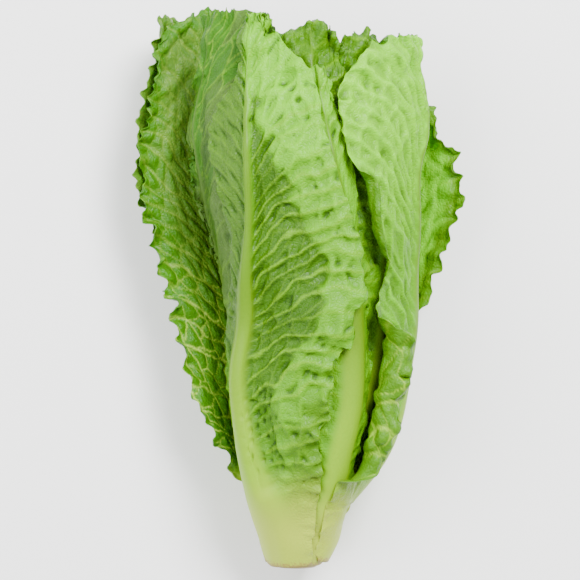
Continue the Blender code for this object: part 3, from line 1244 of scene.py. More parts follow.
        # The blisters' tops take a painted sheen where their colour is paler than the face.
        blade = g.blend(g.rise(self.quilt, *self.BLISTERS), blade, finish.inner_blister)
        blade = g.blend(g.rise(self.frill, *self.INNER_FRILL), blade, finish.frill)
        thin = g.math("POWER", g.math("MAXIMUM", self.vein, self.net), self.THINNED)
        pale = g.math("MULTIPLY", thin, lower)
        lines = g.math("MAXIMUM", self.vein, g.math("MULTIPLY", self.net, self.INNER_NET))
        faint = g.math("MULTIPLY", lines, self.FAINT_LINES)
        pale = g.math("MULTIPLY_ADD", pale, self.PALE_LINES, faint)
        return g.blend(pale, blade, finish.inner_vein)

    def _skin(self, colour: object) -> None:
        """Adds the shader, with the fine grain between the veins as bump.

        Args:
            colour: the leaf's colour.
        """
        g = self.graph
        shader = g.add("ShaderNodeBsdfPrincipled")
        g.plug(shader.inputs["Base Color"], colour)
        rough = g.math("MULTIPLY_ADD", self.fine, 0.16, self.finish.roughness - 0.08)
        g.plug(shader.inputs["Roughness"], rough)
        shader.inputs["Specular IOR Level"].default_value = self.SPECULAR
        shader.inputs["Subsurface Weight"].default_value = self.finish.glow
        shader.inputs["Subsurface Radius"].default_value = self.GLOW_RADIUS
        shader.inputs["Subsurface Scale"].default_value = self.GLOW_DEPTH
        place = g.vector(
            g.math("MULTIPLY", self.side, self.GRAIN_SCALE),
            g.math("MULTIPLY", self.up, self.GRAIN_SCALE),
        )
        small = g.math("MULTIPLY", g.cells(place), 1.2)
        grain = g.math("ADD", g.rise(small, 0.0, 0.35), g.math("MULTIPLY", self.fine, 0.5))
        grain = g.math("MULTIPLY", grain, g.rise(self.rib, 0.70, 0.15))
        bump = g.add("ShaderNodeBump")
        bump.inputs["Strength"].default_value = self.BUMP_STRENGTH
        bump.inputs["Distance"].default_value = self.BUMP_HEIGHT
        g.plug(bump.inputs["Height"], grain)
        g.plug(shader.inputs["Normal"], bump.outputs[0])
        g.plug(g.add("ShaderNodeOutputMaterial").inputs["Surface"], shader.outputs[0])


class FinishMaker:
    """Makes each leaf finish once, and the stem's."""

    def __init__(self) -> None:
        """Starts with no finish made."""
        self.made: dict[str, bpy.types.Material] = {}

    def get(self, finish: LeafFinish) -> bpy.types.Material:
        """The material of a leaf finish.

        Args:
            finish: the finish.

        Returns:
            Its material, made now or before.
        """
        if finish.name not in self.made:
            self.made[finish.name] = LeafMaterial(finish).build()
        return self.made[finish.name]

    def stem(self) -> bpy.types.Material:
        """The stem's flesh: pale, with a browned rim round the cut.

        Returns:
            The material.
        """
        material, g = shaded("stem_flesh")
        place = g.add("ShaderNodeTexCoord").outputs["Object"]
        ring, cut = g.attribute("ring"), g.attribute("cut")
        fleck = g.noise(place, 900.0, 3.0)
        flesh = g.blend(fleck, PALE_STALK, CREAM)
        rim = g.math("MULTIPLY", g.rise(ring, 0.72, 0.95), cut)
        flesh = g.blend(g.math("MULTIPLY", rim, 0.8), flesh, BROWN)
        pith = g.math("MULTIPLY", g.rise(ring, 0.55, 0.30), cut)
        flesh = g.blend(g.math("MULTIPLY", pith, 0.35), flesh, STALK)
        shader = g.add("ShaderNodeBsdfPrincipled")
        g.plug(shader.inputs["Base Color"], flesh)
        shader.inputs["Roughness"].default_value = 0.45
        g.plug(g.add("ShaderNodeOutputMaterial").inputs["Surface"], shader.outputs[0])
        return material


def plain(name: str, colour: Colour, roughness: float) -> bpy.types.Material:
    """A material of one colour.

    Args:
        name: the material's name.
        colour: its colour.
        roughness: its roughness.

    Returns:
        The material.
    """
    material = bpy.data.materials.new(name)
    material.use_nodes = True
    shader = material.node_tree.nodes["Principled BSDF"]
    shader.inputs["Base Color"].default_value = (*colour, 1.0)
    shader.inputs["Roughness"].default_value = roughness
    return material


# --------------------------------------------------------------------------------------------
# Meshes
# --------------------------------------------------------------------------------------------


def normals_of(points: np.ndarray) -> np.ndarray:
    """The outward unit normal at each point of a sheet laid out in rows and columns.

    Args:
        points: the points, with x, y and z along the last dimension.

    Returns:
        The normals, in the same layout.
    """
    across = np.gradient(points, axis=1)
    along = np.gradient(points, axis=0)
    normal = np.cross(across, along)
    return normal / np.maximum(np.linalg.norm(normal, axis=-1, keepdims=True), 1e-9)


def make_object(name: str, points: np.ndarray, quads: np.ndarray) -> bpy.types.Object:
    """Makes a smooth mesh object.

    Args:
        name: the object's name.
        points: its points in the row frame, in metres.
        quads: four point numbers for each face.

    Returns:
        The object, linked to the scene.
    """
    mesh = bpy.data.meshes.new(name)
    mesh.vertices.add(len(points))
    mesh.vertices.foreach_set("co", points.astype(np.float32).ravel())
    mesh.loops.add(quads.size)
    mesh.loops.foreach_set("vertex_index", quads.astype(np.int32).ravel())
    mesh.polygons.add(len(quads))
    mesh.polygons.foreach_set("loop_start", np.arange(0, quads.size, 4, dtype=np.int32))
    mesh.update(calc_edges=True)
    mesh.shade_smooth()
    obj = bpy.data.objects.new(name, mesh)
    bpy.context.scene.collection.objects.link(obj)
    return obj


def set_numbers(mesh: bpy.types.Mesh, name: str, values: np.ndarray) -> None:
    """Stores one number, or one vector, on every point of a mesh.

    Args:
        mesh: the mesh.
        name: the attribute's name.
        values: a row of numbers, or of vectors, in the order of the points.
    """
    vector = values.ndim == 2
    kind = "FLOAT_VECTOR" if vector else "FLOAT"
    layer = mesh.attributes.new(name, kind, "POINT")
    layer.data.foreach_set("vector" if vector else "value", values.astype(np.float32).ravel())


def closed_sheet(rows: int, columns: int) -> np.ndarray:
    """The faces of a closed sheet: its front, its back and the four strips that join them.

    Args:
        rows: how many rows of points each of the two has.
        columns: how many columns.

    Returns:
        Four point numbers for each face. The back's points come after the front's.
    """
    front = np.arange(rows * columns).reshape(rows, columns)
    back = front + rows * columns
    strips = (
        (front[:-1, :-1], front[:-1, 1:], front[1:, 1:], front[1:, :-1]),
        (back[:-1, :-1], back[1:, :-1], back[1:, 1:], back[:-1, 1:]),
        (front[0, :-1], back[0, :-1], back[0, 1:], front[0, 1:]),
        (front[-1, 1:], back[-1, 1:], back[-1, :-1], front[-1, :-1]),
        (front[1:, 0], back[1:, 0], back[:-1, 0], front[:-1, 0]),
        (front[:-1, -1], back[:-1, -1], back[1:, -1], front[1:, -1]),
    )
    return np.concatenate([np.stack(corners, axis=-1).reshape(-1, 4) for corners in strips])


@dataclass
class LeafSheet:
    """The sheet of one leaf, from its place on the head to a closed mesh.

    across runs from -1 at the left margin to 1 at the right one, and along from 0 at the foot to 1
    at the top edge.  height and side are millimetres above the butt and to the side of the rib.
    """

    # Powers of across and along: the higher, the nearer to the edge the teeth stay.
    SIDE_TEETH = 14
    TOP_TEETH = 26
    # Starts of the lines that the teeth are read from, so that no two edges have the same teeth.
    RIGHT_START = 400
    TOP_START = 900.0
    # How deep the trough beside a rib is, and how long the waves of the broad swellings are.
    TROUGH_DEPTH = 1.5
    BULGE_LENGTH = 60.0
    # How high a ruffle of size 1 stands.
    RUFFLE = 1.3

    leaf: Leaf
    reaches: np.ndarray
    across: np.ndarray = field(init=False)
    along: np.ndarray = field(init=False)
    height: np.ndarray = field(init=False)
    side: np.ndarray = field(init=False)
    points: np.ndarray = field(init=False)

    def __post_init__(self) -> None:
        """Lays the sheet out and shapes it."""
        self._lay_out()
        self._bulge()
        self._ruffle()
        for curl in self.leaf.curls:
            self._roll(curl)
        self._stand_on_ground()

    def _lay_out(self) -> None:
        """Finds where every point of the sheet lies on the head."""
        leaf = self.leaf
        self.across, self.along = np.meshgrid(
            np.linspace(-1, 1, leaf.columns), np.linspace(0, 1, leaf.rows)
        )
        heel = np.where(self.across < 0, leaf.heel[0], leaf.heel[1])
        low = leaf.base + heel * self.across**2
        self.height = low + (leaf.crown(self.across) - low) * self.along
        rib, left, right = leaf.lines(self.height, self.reaches)
        reach = np.where(
            self.across < 0, leaf.left_reach.at(self.height), leaf.right_reach.at(self.height)
        )
        span = np.where(self.across < 0, rib - left, right - rib)
        turn = rib + self.across * span
        radius = HEAD.radius(self.height, turn) * np.maximum(reach, 0.2)
        side_run = self.height * np.sign(self.across) + self.RIGHT_START * (self.across > 0)
        pull = np.abs(self.across) ** self.SIDE_TEETH * np.sign(self.across)
        turn = turn + np.degrees(self._teeth(side_run) / np.maximum(radius, 8.0)) * pull
        top_run = self.across * 60.0 + self.TOP_START
        self.height = self.height + self._teeth(top_run) * self.along**self.TOP_TEETH
        reaches = read_grid(self.reaches, self.height, turn)
        for _ in range(3):
            reaches = softened(reaches, 2)
        self.points = HEAD.place(self.height, turn, reaches)
        step = np.linalg.norm(np.diff(self.points, axis=1), axis=-1)
        run = np.concatenate([np.zeros((leaf.rows, 1)), np.cumsum(step, axis=1)], axis=1)
        middle = np.array([np.interp(0.0, a, r) for a, r in zip(self.across, run)])
        self.side = run - middle[:, None]

    def _teeth(self, run: np.ndarray) -> np.ndarray:
        """How far the teeth stand out along a margin.

        Args:
            run: how far along the margin each point lies.

        Returns:
            The distance in millimetres.
        """
        margin = self.leaf.margin
        uneven = run + 6.0 * wander(run, 21.0, margin.seed + 11)
        size = 0.35 + 1.1 * np.abs(wander(run, 27.0, margin.seed + 12))
        large = 1 - 2 * np.abs(wander(uneven, margin.tooth_length, margin.seed))
        small = wander(uneven, margin.tooth_length * 0.42, margin.seed + 1)
        return margin.tooth * size * (0.8 * large + 0.4 * small)

    def _hollow(self) -> np.ndarray:
        """1 in the trough that runs beside the rib's right side, and 0 elsewhere.

        Returns:
            A share for every point of one side.
        """
        width = self.leaf.hollow.at(self.height)
        wavy = width + 3.6 * wander(self.height, 7.0, self.leaf.margin.seed + 8)
        inside = rise(self.side, 0.0, 3.5) * rise(self.side, wavy + 2.0, wavy - 2.0)
        return inside * rise(width, 0.5, 6.0)

    def _bulge(self) -> None:
        """Gives the blade broad swellings, clear of its base, and sinks its trough."""
        leaf = self.leaf
        swelling = bumps(self.side, self.height, self.BULGE_LENGTH, leaf.margin.seed + 7)
        lift = leaf.bulge * swelling
        lift = lift * rise(self.height, 50.0, 130.0) * (1 - 0.6 * np.abs(self.across) ** 4)
        lift = lift - self.TROUGH_DEPTH * softened(self._hollow(), 2)
        self.points = self.points + normals_of(self.points) * lift[..., None]

    def _ruffle(self) -> None:
        """Waves the margins. The waves run along a margin and die away from it."""
        margin = self.leaf.margin
        size = np.where(
            self.across < 0, margin.left.at(self.height), margin.right.at(self.height)
        )
        close = np.abs(self.across)
        inward, length, seed = self.side * 0.45, margin.length, margin.seed
        wave = bumps(inward, self.height, length, seed + 2) * close**5
        wave = wave + 0.6 * bumps(inward, self.height, length * 0.42, seed + 3) * close**10
        down = self.height * 0.8
        crest = bumps(self.side, down, length, seed + 4) * self.along**7
        crest = crest + 0.3 * bumps(self.side, down, length * 0.5, seed + 5) * self.along**16
        lift = self.RUFFLE * (size * wave + margin.top * crest)
        self.points = self.points + normals_of(self.points) * lift[..., None]

    def _roll(self, curl: Curl) -> None:
        """Rolls a length of margin outwards, round a radius that keeps the sheet's width.

        Args:
            curl: the roll. It grows over its first two heights and dies away over its last two.
        """
        start, full, end, gone = curl.heights
        share = rise(self.height, start, full) * rise(self.height, gone, end)
        beyond = np.maximum(self.across * curl.side - curl.start, 0)
        column = int(round((curl.side * curl.start + 1) / 2 * (self.leaf.columns - 1)))
        root = self.points[:, column]
        normal = normals_of(self.points)[:, column]
        tangent = self.points[:, column + curl.side] - root
        tangent = tangent / np.linalg.norm(tangent, axis=-1, keepdims=True)
        distance = np.abs(self.side - self.side[:, column][:, None])
        distance = np.where(beyond > 0, distance, 0)
        whole = np.max(distance, axis=1, keepdims=True)
        bend = np.maximum(np.radians(curl.angle) * share, 1e-4)
        radius = whole / bend
        angle = distance / radius
        moved = radius * (np.sin(angle) - angle)
        raised = radius * (1 - np.cos(angle))
        self.points = (
            self.points
            + tangent[:, None, :] * moved[..., None]
            + normal[:, None, :] * raised[..., None]
        )

    def _stand_on_ground(self) -> None:
        """Keeps the sheet and its thickness above the ground."""
        facing = rise(-normals_of(self.points)[..., 2], -0.1, 0.5)
        floor = LOWEST + self.leaf.thickness(self.height, self.side) * facing
        self.points[..., 2] = smooth_max(self.points[..., 2], floor, 0.8)

    def _frill(self) -> np.ndarray:
        """1 at the margins that are coloured as frills, falling to 0 some way in.

        Returns:
            A share for every point of one side.
        """
        leaf = self.leaf
        to_side = np.where(
            self.across < 0, self.side - self.side[:, :1], self.side[:, -1:] - self.side
        )
        to_top = (1 - self.along) * (leaf.tip - leaf.base)
        width = leaf.frill_width.at(self.height)
        near = np.exp(-((np.minimum(to_side, to_top) / width) ** 2))
        share = np.where(
            self.across < 0, leaf.left_frill.at(self.height), leaf.right_frill.at(self.height)
        )
        return near * share

    def _numbers(self) -> dict[str, np.ndarray]:
        """The numbers that the veins and the finish read, for every point of one side.

        Returns:
            A grid of values for each name. free is 1 where the blade is free to sink and swell, and
            the shade mask is 1 on the less quilted half of the blade that the finish paints in
            shade.
        """
        leaf = self.leaf
        rib = leaf.ridge(self.height, self.side)
        rib = rib * (0.55 + 0.45 * rise(self.height, leaf.tip, leaf.tip - 90))
        free = (1 - rise(rib, 0.12, 0.75)) * rise(self.height, 14.0, 70.0)
        matte = rise(self.side * leaf.matte_shade_side, 0.5, 3.0) * rise(self.height, 70.0, 130.0)
        return {
            "side_mm": self.side, "up_mm": self.height, "along": self.along, "rib": rib,
            "free": free * (1 - 0.68 * matte), "frill": self._frill(), "hollow": self._hollow(),
            "matte": matte,
        }

    def build(self) -> bpy.types.Object:
        """Makes the closed mesh, thinner at its margins, and stores its numbers on it.

        Returns:
            The leaf's object.
        """
        normal = normals_of(self.points)
        depth = self.leaf.thickness(self.height, self.side)
        depth = depth * (1 - 0.35 * np.abs(self.across) ** 12)
        outside = self.points + normal * depth[..., None]
        points = np.concatenate([outside.reshape(-1, 3), self.points.reshape(-1, 3)])
        quads = closed_sheet(*self.side.shape)
        obj = make_object(self.leaf.name, (points - ORIGIN) * MM, quads)
        for name, values in self._numbers().items():
            set_numbers(obj.data, name, np.concatenate([values.ravel(), values.ravel()]))
        set_numbers(obj.data, "inner", np.repeat((0.0, 1.0), self.side.size))
        set_numbers(obj.data, "outward", np.concatenate([normal.reshape(-1, 3)] * 2))
        return obj


# --------------------------------------------------------------------------------------------
# The leaves
# --------------------------------------------------------------------------------------------

# In these finishes the colours of the sunk blade, the trough and the dents are painted shade; the
# plain wrapper's top and the outer leaves' inner centres are painted sheen.
WRAPPER = LeafFinish(
    name="wrapper_leaf", top=SHEEN, middle=LIGHT, low=LIGHT, valley_shade=MIDDLE, hollow=TROUGH_SHADE,
    vein=VEIN, rib_top=STALK, rib_low=PALE_STALK, cream=CREAM, frill=BRIGHT,
    inner=VIVID, inner_vein=NET, inner_blister=MIDDLE, inner_centre=VIVID,
    valley_shade_share=0.75, pit_shade_share=0.80,
)
# A copy of the wrapper finish with a brighter top, painted light for the right leaf that the lamps
# light less, and paler veins.
RIGHT = replace(WRAPPER, name="wrapper_leaf_lit", top=LIT_TOP, vein=SHEEN)
FOLD = LeafFinish(
    name="wrapper_leaf_folded", top=GREYED, middle=GREYED, low=LIGHT, valley_shade=DEEP,
    hollow=DEEP, vein=VEIN, rib_top=GREYED, rib_low=PALE_STALK, cream=CREAM, frill=MIDDLE,
    inner=VIVID, inner_vein=NET, inner_blister=MIDDLE, inner_centre=VIVID,
    vein_share=0.38, valley_shade_share=0.30, window_share=0.95, roughness=0.55,
)
OUTER = LeafFinish(
    name="outer_leaf", top=MIDDLE, middle=MIDDLE, low=LIGHT, valley_shade=DEEP, hollow=DEEP,
    vein=VEIN, rib_top=STALK, rib_low=PALE_STALK, cream=CREAM, frill=LIVELY,
    inner=LIVELY, inner_vein=CREAM_NET, inner_blister=LIVELY, inner_centre=GREY_SHEEN,
)
# A copy of the outer finish with a brighter inner face, frill and centre: painted light and sheen
# for the right back leaf, which faces away from the key lamp.
RIGHT_BACK = replace(
    OUTER, name="outer_leaf_lit", inner=BRIGHT, inner_vein=NET, inner_centre=SHEEN,
    frill=BRIGHT,
)
INNER = LeafFinish(
    name="inner_leaf", top=MIDDLE, middle=LIGHT, low=LIGHT, valley_shade=SUNK_SHADE, hollow=MIDDLE,
    vein=VEIN, rib_top=STALK, rib_low=PALE_STALK, cream=CREAM, frill=DEEP,
    inner=LIVELY, inner_vein=VEIN, inner_blister=MIDDLE, inner_centre=LIVELY,
)
HEART = LeafFinish(
    name="heart_leaf", top=LIGHT, middle=SHEEN, low=PALE_STALK, valley_shade=LIGHT, hollow=LIGHT,
    vein=SHEEN, rib_top=PALE_STALK, rib_low=PALE_STALK, cream=CREAM, frill=MIDDLE,
    inner=LIGHT, inner_vein=SHEEN, inner_blister=LIGHT, inner_centre=LIGHT,
)


class Leaves:
    """Every leaf of the head, from the heart outwards."""

    GOLDEN_ANGLE = 137.5
    FIRST_TURN = 20
    HEART_LEAVES = 5

    def all(self) -> list[Leaf]:
        """The leaves in the order in which they are laid."""
        return [*self.heart(), *self.inner(), *self.wrappers(), *self.outer()]

    def _banded(
        self, name: str, base: float, tip: float, turns: tuple[float, ...],
        spans: tuple[tuple[float, ...], ...], reaches: tuple[tuple[float, ...], ...],
        **rest: object,
    ) -> Leaf:
        """A leaf whose tables hold five values each.

        Args:
            name: the CAD node's name.
            base: the height of the leaf's foot.
            tip: the height of its tip.
            turns: the rib's turns.
            spans: the turns from the rib to the left margin and to the right one.
            reaches: the reaches at the rib, at the left margin and at the right one.
            **rest: the leaf's other values.

        Returns:
            The leaf.
        """
        left = tuple(turn - span for turn, span in zip(turns, spans[0]))
        right = tuple(turn + span for turn, span in zip(turns, spans[1]))
        return Leaf(
            name=name, base=base, tip=tip,
            rib=Line(fifths(base, tip, turns)),
            left=Line(fifths(base, tip, left)),
            right=Line(fifths(base, tip, right)),
            rib_reach=fifths(base, tip, reaches[0]),
            left_reach=fifths(base, tip, reaches[1]),
            right_reach=fifths(base, tip, reaches[2]),
            **rest,
        )

    def heart(self) -> list[Leaf]:
        """The small leaves round the growing point, each a golden angle on from the last.

        Returns:
            The leaves, from the smallest.
        """
        found = []
        for order in range(self.HEART_LEAVES):
            turn = (self.FIRST_TURN + order * self.GOLDEN_ANGLE + 180) % 360 - 180
            reach = 0.10 + 0.085 * order
            sides = (0, reach * 0.7, reach * 0.9, reach * 0.9, reach * 0.8)
            span = (60, 62, 66, 70, 56)
            found.append(self._banded(
                f"heart_leaf_{order + 1}", 38 - 4 * order, 185 + 14 * order,
                (turn,) * 5, (span, span),
                ((0, reach * 0.8, reach, reach, reach * 0.9), sides, sides),
                slot="heart_leaf", finish=HEART, drop=(30, 30),
                margin=Margin(seed=100 + order, tooth=1.2, top=1.5),
                relief=Relief(seed=order, depth=0.6, swell=1.0),
                rib_depth=curve((0, 0.5), (60, 1.6), (130, 1.4), (250, 0.4)),
                rib_width=curve((0, 10), (60, 7), (130, 3), (250, 1)),
                bulge=0.6, rows=110, columns=60,
            ))
        return found

    def inner(self) -> list[Leaf]:
        """The leaves between the heart and the wrappers.

        Returns:
            The leaves, from the innermost.
        """
        soft = dict(slot="inner_leaf", finish=INNER)
        thin = curve((0, 0.6), (40, 2.0), (110, 2.2), (200, 1.2), (280, 0.4))
        crinkled = Relief(seed=21, climb=6, spacing=9.0, cell=5.0, depth=1.5, swell=6.5)
        return [
            self._banded(
                "inner_back_leaf", 18, 252, (-165, -165, -162, -160, -160),
                ((48, 52, 62, 66, 50),) * 2,
                ((0, 0.45, 0.58, 0.62, 0.62),) + ((0, 0.45, 0.58, 0.64, 0.62),) * 2,
                drop=(28, 28), margin=Margin(seed=20), relief=Relief(seed=20, depth=0.8),
                rib_depth=thin, bulge=0.8, **soft,
            ),
            self._banded(
                "inner_right_leaf", 16, 264, (62, 64, 62, 52, 44),
                ((46, 44, 42, 40, 34), (46, 50, 60, 62, 50)),
                ((0, 0.58, 0.76, 0.78, 0.70), (0, 0.56, 0.74, 0.74, 0.66),
                 (0, 0.58, 0.76, 0.78, 0.70)),
                drop=(14, 24), margin=Margin(seed=21, tooth=2.4, top=3.0),
                relief=crinkled, rib_depth=thin, bulge=1.0, rows=200, columns=110, **soft,
            ),
            self._banded(
                "inner_front_leaf", 14, 268, (-4, -2, 0, 2, 4),
                ((46, 48, 50, 46, 34), (44, 30, 28, 24, 20)),
                ((0, 0.52, 0.70, 0.76, 0.74), (0, 0.52, 0.70, 0.76, 0.72),
                 (0, 0.48, 0.62, 0.70, 0.68)),
                drop=(20, 12), margin=Margin(seed=22, tooth=2.4, top=3.0),
                relief=replace(crinkled, seed=22), rib_depth=thin, bulge=1.0,
                rows=200, columns=110, **soft,
            ),
            self._banded(
                "back_leaf", 10, 262, (165, 168, 170, 172, 172),
                ((44, 48, 58, 62, 46),) * 2,
                ((0, 0.62, 0.78, 0.80, 0.80),) + ((0, 0.62, 0.80, 0.84, 0.80),) * 2,
                drop=(26, 26), margin=Margin(seed=23), relief=Relief(seed=23),
                bulge=0.8, rows=180, columns=100, **soft,
            ),
        ]

    def wrappers(self) -> list[Leaf]:
        """The leaves that close the head, as seen from above.

        Returns:
            The leaves, from the innermost.
        """
        return [
            Leaf(
                name="left_inner_leaf", slot="wrapper_leaf", finish=FOLD, base=8, tip=275,
                rib=above((8, -14), (60, -31), (128, -39), (200, -50), (235, -47), (275, -38)),
                rib_depth=curve((0, 1.0), (60, 1.8), (128, 1.0), (275, 0.3)),
                rib_width=curve((0, 14), (60, 8), (128, 3), (200, 1.4), (275, 0.8)),
                # The trough beside this rib is painted with shade, the shadow of the front wrapper
                # leaf over it.
                hollow=curve(
                    (0, 0), (90, 4), (128, 8), (170, 14), (215, 18), (228, 10), (240, 0),
                    (275, 0),
                ),
                left=above(
                    (8, -15), (60, -35), (110, -42), (127, -42), (139, -41), (153, -44),
                    (177, -48), (187, -51), (202, -53.5), (210, -57), (224, -57), (235, -57),
                    (239, -53), (244, -49), (254, -48), (275, -46),
                ),
                right=above((8, -5), (60, -15), (124, -15), (205, -14), (255, -14), (275, -16)),
                rib_reach=curve((8, 0.6), (60, 0.82), (128, 0.88), (205, 0.90), (275, 0.88)),
                left_reach=curve((8, 0.6), (60, 0.86), (128, 0.95), (205, 0.98), (275, 0.90)),
                right_reach=curve((8, 0.5), (60, 0.74), (128, 0.82), (205, 0.84), (275, 0.84)),
                drop=(3, 4), crown_power=3.0,
                margin=Margin(seed=30, tooth=1.5, top=1.6),
                relief=Relief(seed=30, depth=1.0, cell=12.0, spacing=13.0, swell=2.4),
                rows=240, columns=110,
            ),
            Leaf(
                name="front_right_leaf", slot="wrapper_leaf", finish=WRAPPER, base=2.5, tip=246,
                rib=above(
                    (6, 8), (12, 12), (35, 17), (55, 20), (85, 26), (110, 27), (132, 27),
                    (160, 25), (190, 20), (224, 13), (246, 10),
                ),
                left=above((6, -5), (54, -8), (114, -10), (186, -10), (246, -2)),
                right=above(
                    (6, 14), (12, 17), (35, 24.5), (55, 29.5), (70, 33), (85, 34.5),
                    (132, 34.5), (157, 33.5), (164, 31.5), (189, 28.5), (209, 24.5),
                    (224, 20), (240, 15.5), (246, 13),
                ),
                rib_reach=curve((6, 0.7), (55, 0.86), (114, 0.92), (186, 0.92), (246, 0.90)),
                left_reach=curve((6, 0.6), (55, 0.78), (114, 0.84), (186, 0.86), (246, 0.84)),
                right_reach=curve((6, 0.6), (55, 0.78), (114, 0.80), (186, 0.84), (246, 0.84)),
                rib_width=curve(
                    (0, 9), (35, 8), (85, 7), (132, 6.5), (160, 4), (200, 2), (246, 1),
                ),
                drop=(10, 3),
                margin=Margin(
                    seed=31, tooth=1.2, left=curve((0, 0.1)),
                    right=curve((0, 0.3), (30, 1.6), (62, 2.0), (80, 0.3), (246, 0.8)),
                ),
                relief=Relief(seed=31, depth=1.4, swell=0.8), bulge=0.6, rows=230, columns=110,
            ),
            Leaf(
                name="right_leaf", slot="wrapper_leaf", finish=RIGHT, base=4, tip=264,
                rib=above(
                    (4, 14), (12, 18), (22, 24), (45, 38), (70, 48), (85, 53), (100, 56),
                    (134, 58), (186, 59.5), (204, 60.5), (235, 63), (264, 62),
                ),
                left=above(
                    (4, 10), (30, 14), (48, 20), (65, 24), (85, 26), (104, 27), (118, 30),
                    (130, 37), (140, 41), (152, 41), (165, 33), (185, 29), (204, 25),
                    (222, 21), (235, 21.5), (241, 24), (254, 33), (264, 44),
                ),
                right=Line(curve((4, 132), (56, 122), (121, 140), (199, 128), (264, 104))),
                rib_reach=curve((4, 0.6), (56, 0.94), (121, 0.97), (199, 0.97), (264, 1.0)),
                left_reach=curve((4, 0.6), (56, 0.90), (121, 0.92), (199, 0.98), (264, 0.98)),
                right_reach=curve((4, 0.6), (56, 0.86), (121, 0.92), (199, 0.94), (264, 0.96)),
                rib_width=curve((0, 12), (45, 9), (85, 7), (132, 5), (180, 3), (264, 1.2)),
                drop=(6, 4), crown_power=4.0,
                margin=Margin(
                    seed=32, tooth=1.1,
                    left=curve((0, 0.3), (40, 1.2), (70, 2.6), (125, 2.8), (150, 1.2), (264, 1.0)),
                ),
                relief=Relief(
                    seed=32, climb=52, spacing=9.0, swell=2.6, depth=3.0, cell=10.0, pits=0.45
                ),
                curls=(
                    Curl(-1, (140, 156, 188, 204), 0.80, 150),
                    Curl(-1, (44, 62, 114, 132), 0.56, 172),
                ),
                heel=(0.5, 10.0),
                left_frill=curve((0, 0.5), (60, 1), (185, 1), (205, 0.1), (264, 0.1)),
                frill_width=curve((0, 10), (60, 20), (108, 22), (128, 6), (264, 4)),
                rows=250, columns=130,
            ),
            Leaf(
                name="front_wrapper_leaf", slot="wrapper_leaf", finish=WRAPPER, base=2, tip=271,
                rib=above(
                    (0, -9), (30, -15), (60, -23), (85, -26.6), (114, -26.6), (134, -25),
                    (150, -23.6), (200, -23.4), (254, -23.2), (271, -22),
                ),
                left=above(
                    (0, -14), (20, -22), (45, -31), (85, -36), (114, -35), (149, -30.5),
                    (191, -38), (207, -41.5), (216, -42), (225, -39.5), (232, -35),
                    (240, -29), (255, -27), (271, -26),
                ),
                right=above(
                    (0, 8), (14, 8), (32, 10.5), (45, 13), (56, 11.5), (66, 10), (75, 15),
                    (90, 16.5), (103, 18), (108, 21), (114, 27), (129, 29), (134, 32.5),
                    (142, 32), (158, 31), (167, 29), (185, 23), (207, 16), (222, 13),
                    (236, 9), (245, 6), (254, -3), (266, -12), (271, -15),
                ),
                rib_reach=curve((0, 0.9), (60, 0.97), (124, 0.98), (205, 1.0), (271, 0.94)),
                left_reach=curve((0, 0.8), (60, 0.90), (124, 0.92), (205, 0.92), (271, 0.92)),
                right_reach=curve((0, 0.8), (60, 0.94), (124, 0.98), (205, 1.0), (271, 0.92)),
                rib_width=curve(
                    (0, 20), (30, 16), (60, 10), (85, 6.8), (114, 6.0), (134, 4.8),
                    (150, 3.0), (200, 1.8), (254, 1.0), (271, 0.8),
                ),
                rib_depth=curve(
                    (0, 1.6), (40, 4.0), (100, 4.2), (150, 3.0), (210, 1.8), (271, 0.7),
                ),
                drop=(2, 2), heel=(9.0, 0.5),
                # The trough beside the rib both sinks the blade and is painted with shade.
                hollow=curve(
                    (0, 0), (38, 0), (48, 14), (60, 19), (75, 21), (92, 23), (106, 29),
                    (120, 38), (140, 41), (159, 34), (172, 27), (186, 21), (200, 14), (215, 8),
                    (228, 6), (238, 0), (271, 0),
                ),
                # The left half of this blade is painted in shade.
                matte_shade_side=-1, left_frill=curve((0, 0)),
                frill_width=curve((0, 16), (100, 14), (140, 6)),
                right_frill=curve((0, 0.7), (14, 1), (70, 1), (98, 0.25), (120, 0), (271, 0)),
                margin=Margin(
                    seed=33, tooth=1.0,
                    right=curve(
                        (0, 0.3), (20, 1.8), (60, 2.4), (110, 1.8), (150, 0.8), (271, 0.9),
                    ),
                    left=curve((0, 0.1), (130, 0.2), (200, 0.8), (271, 0.6)),
                ),
                relief=Relief(seed=33, depth=2.5, swell=3.2, cell=9.0),
                bulge=2.4, room=4.0, rows=280, columns=150,
            ),
        ]

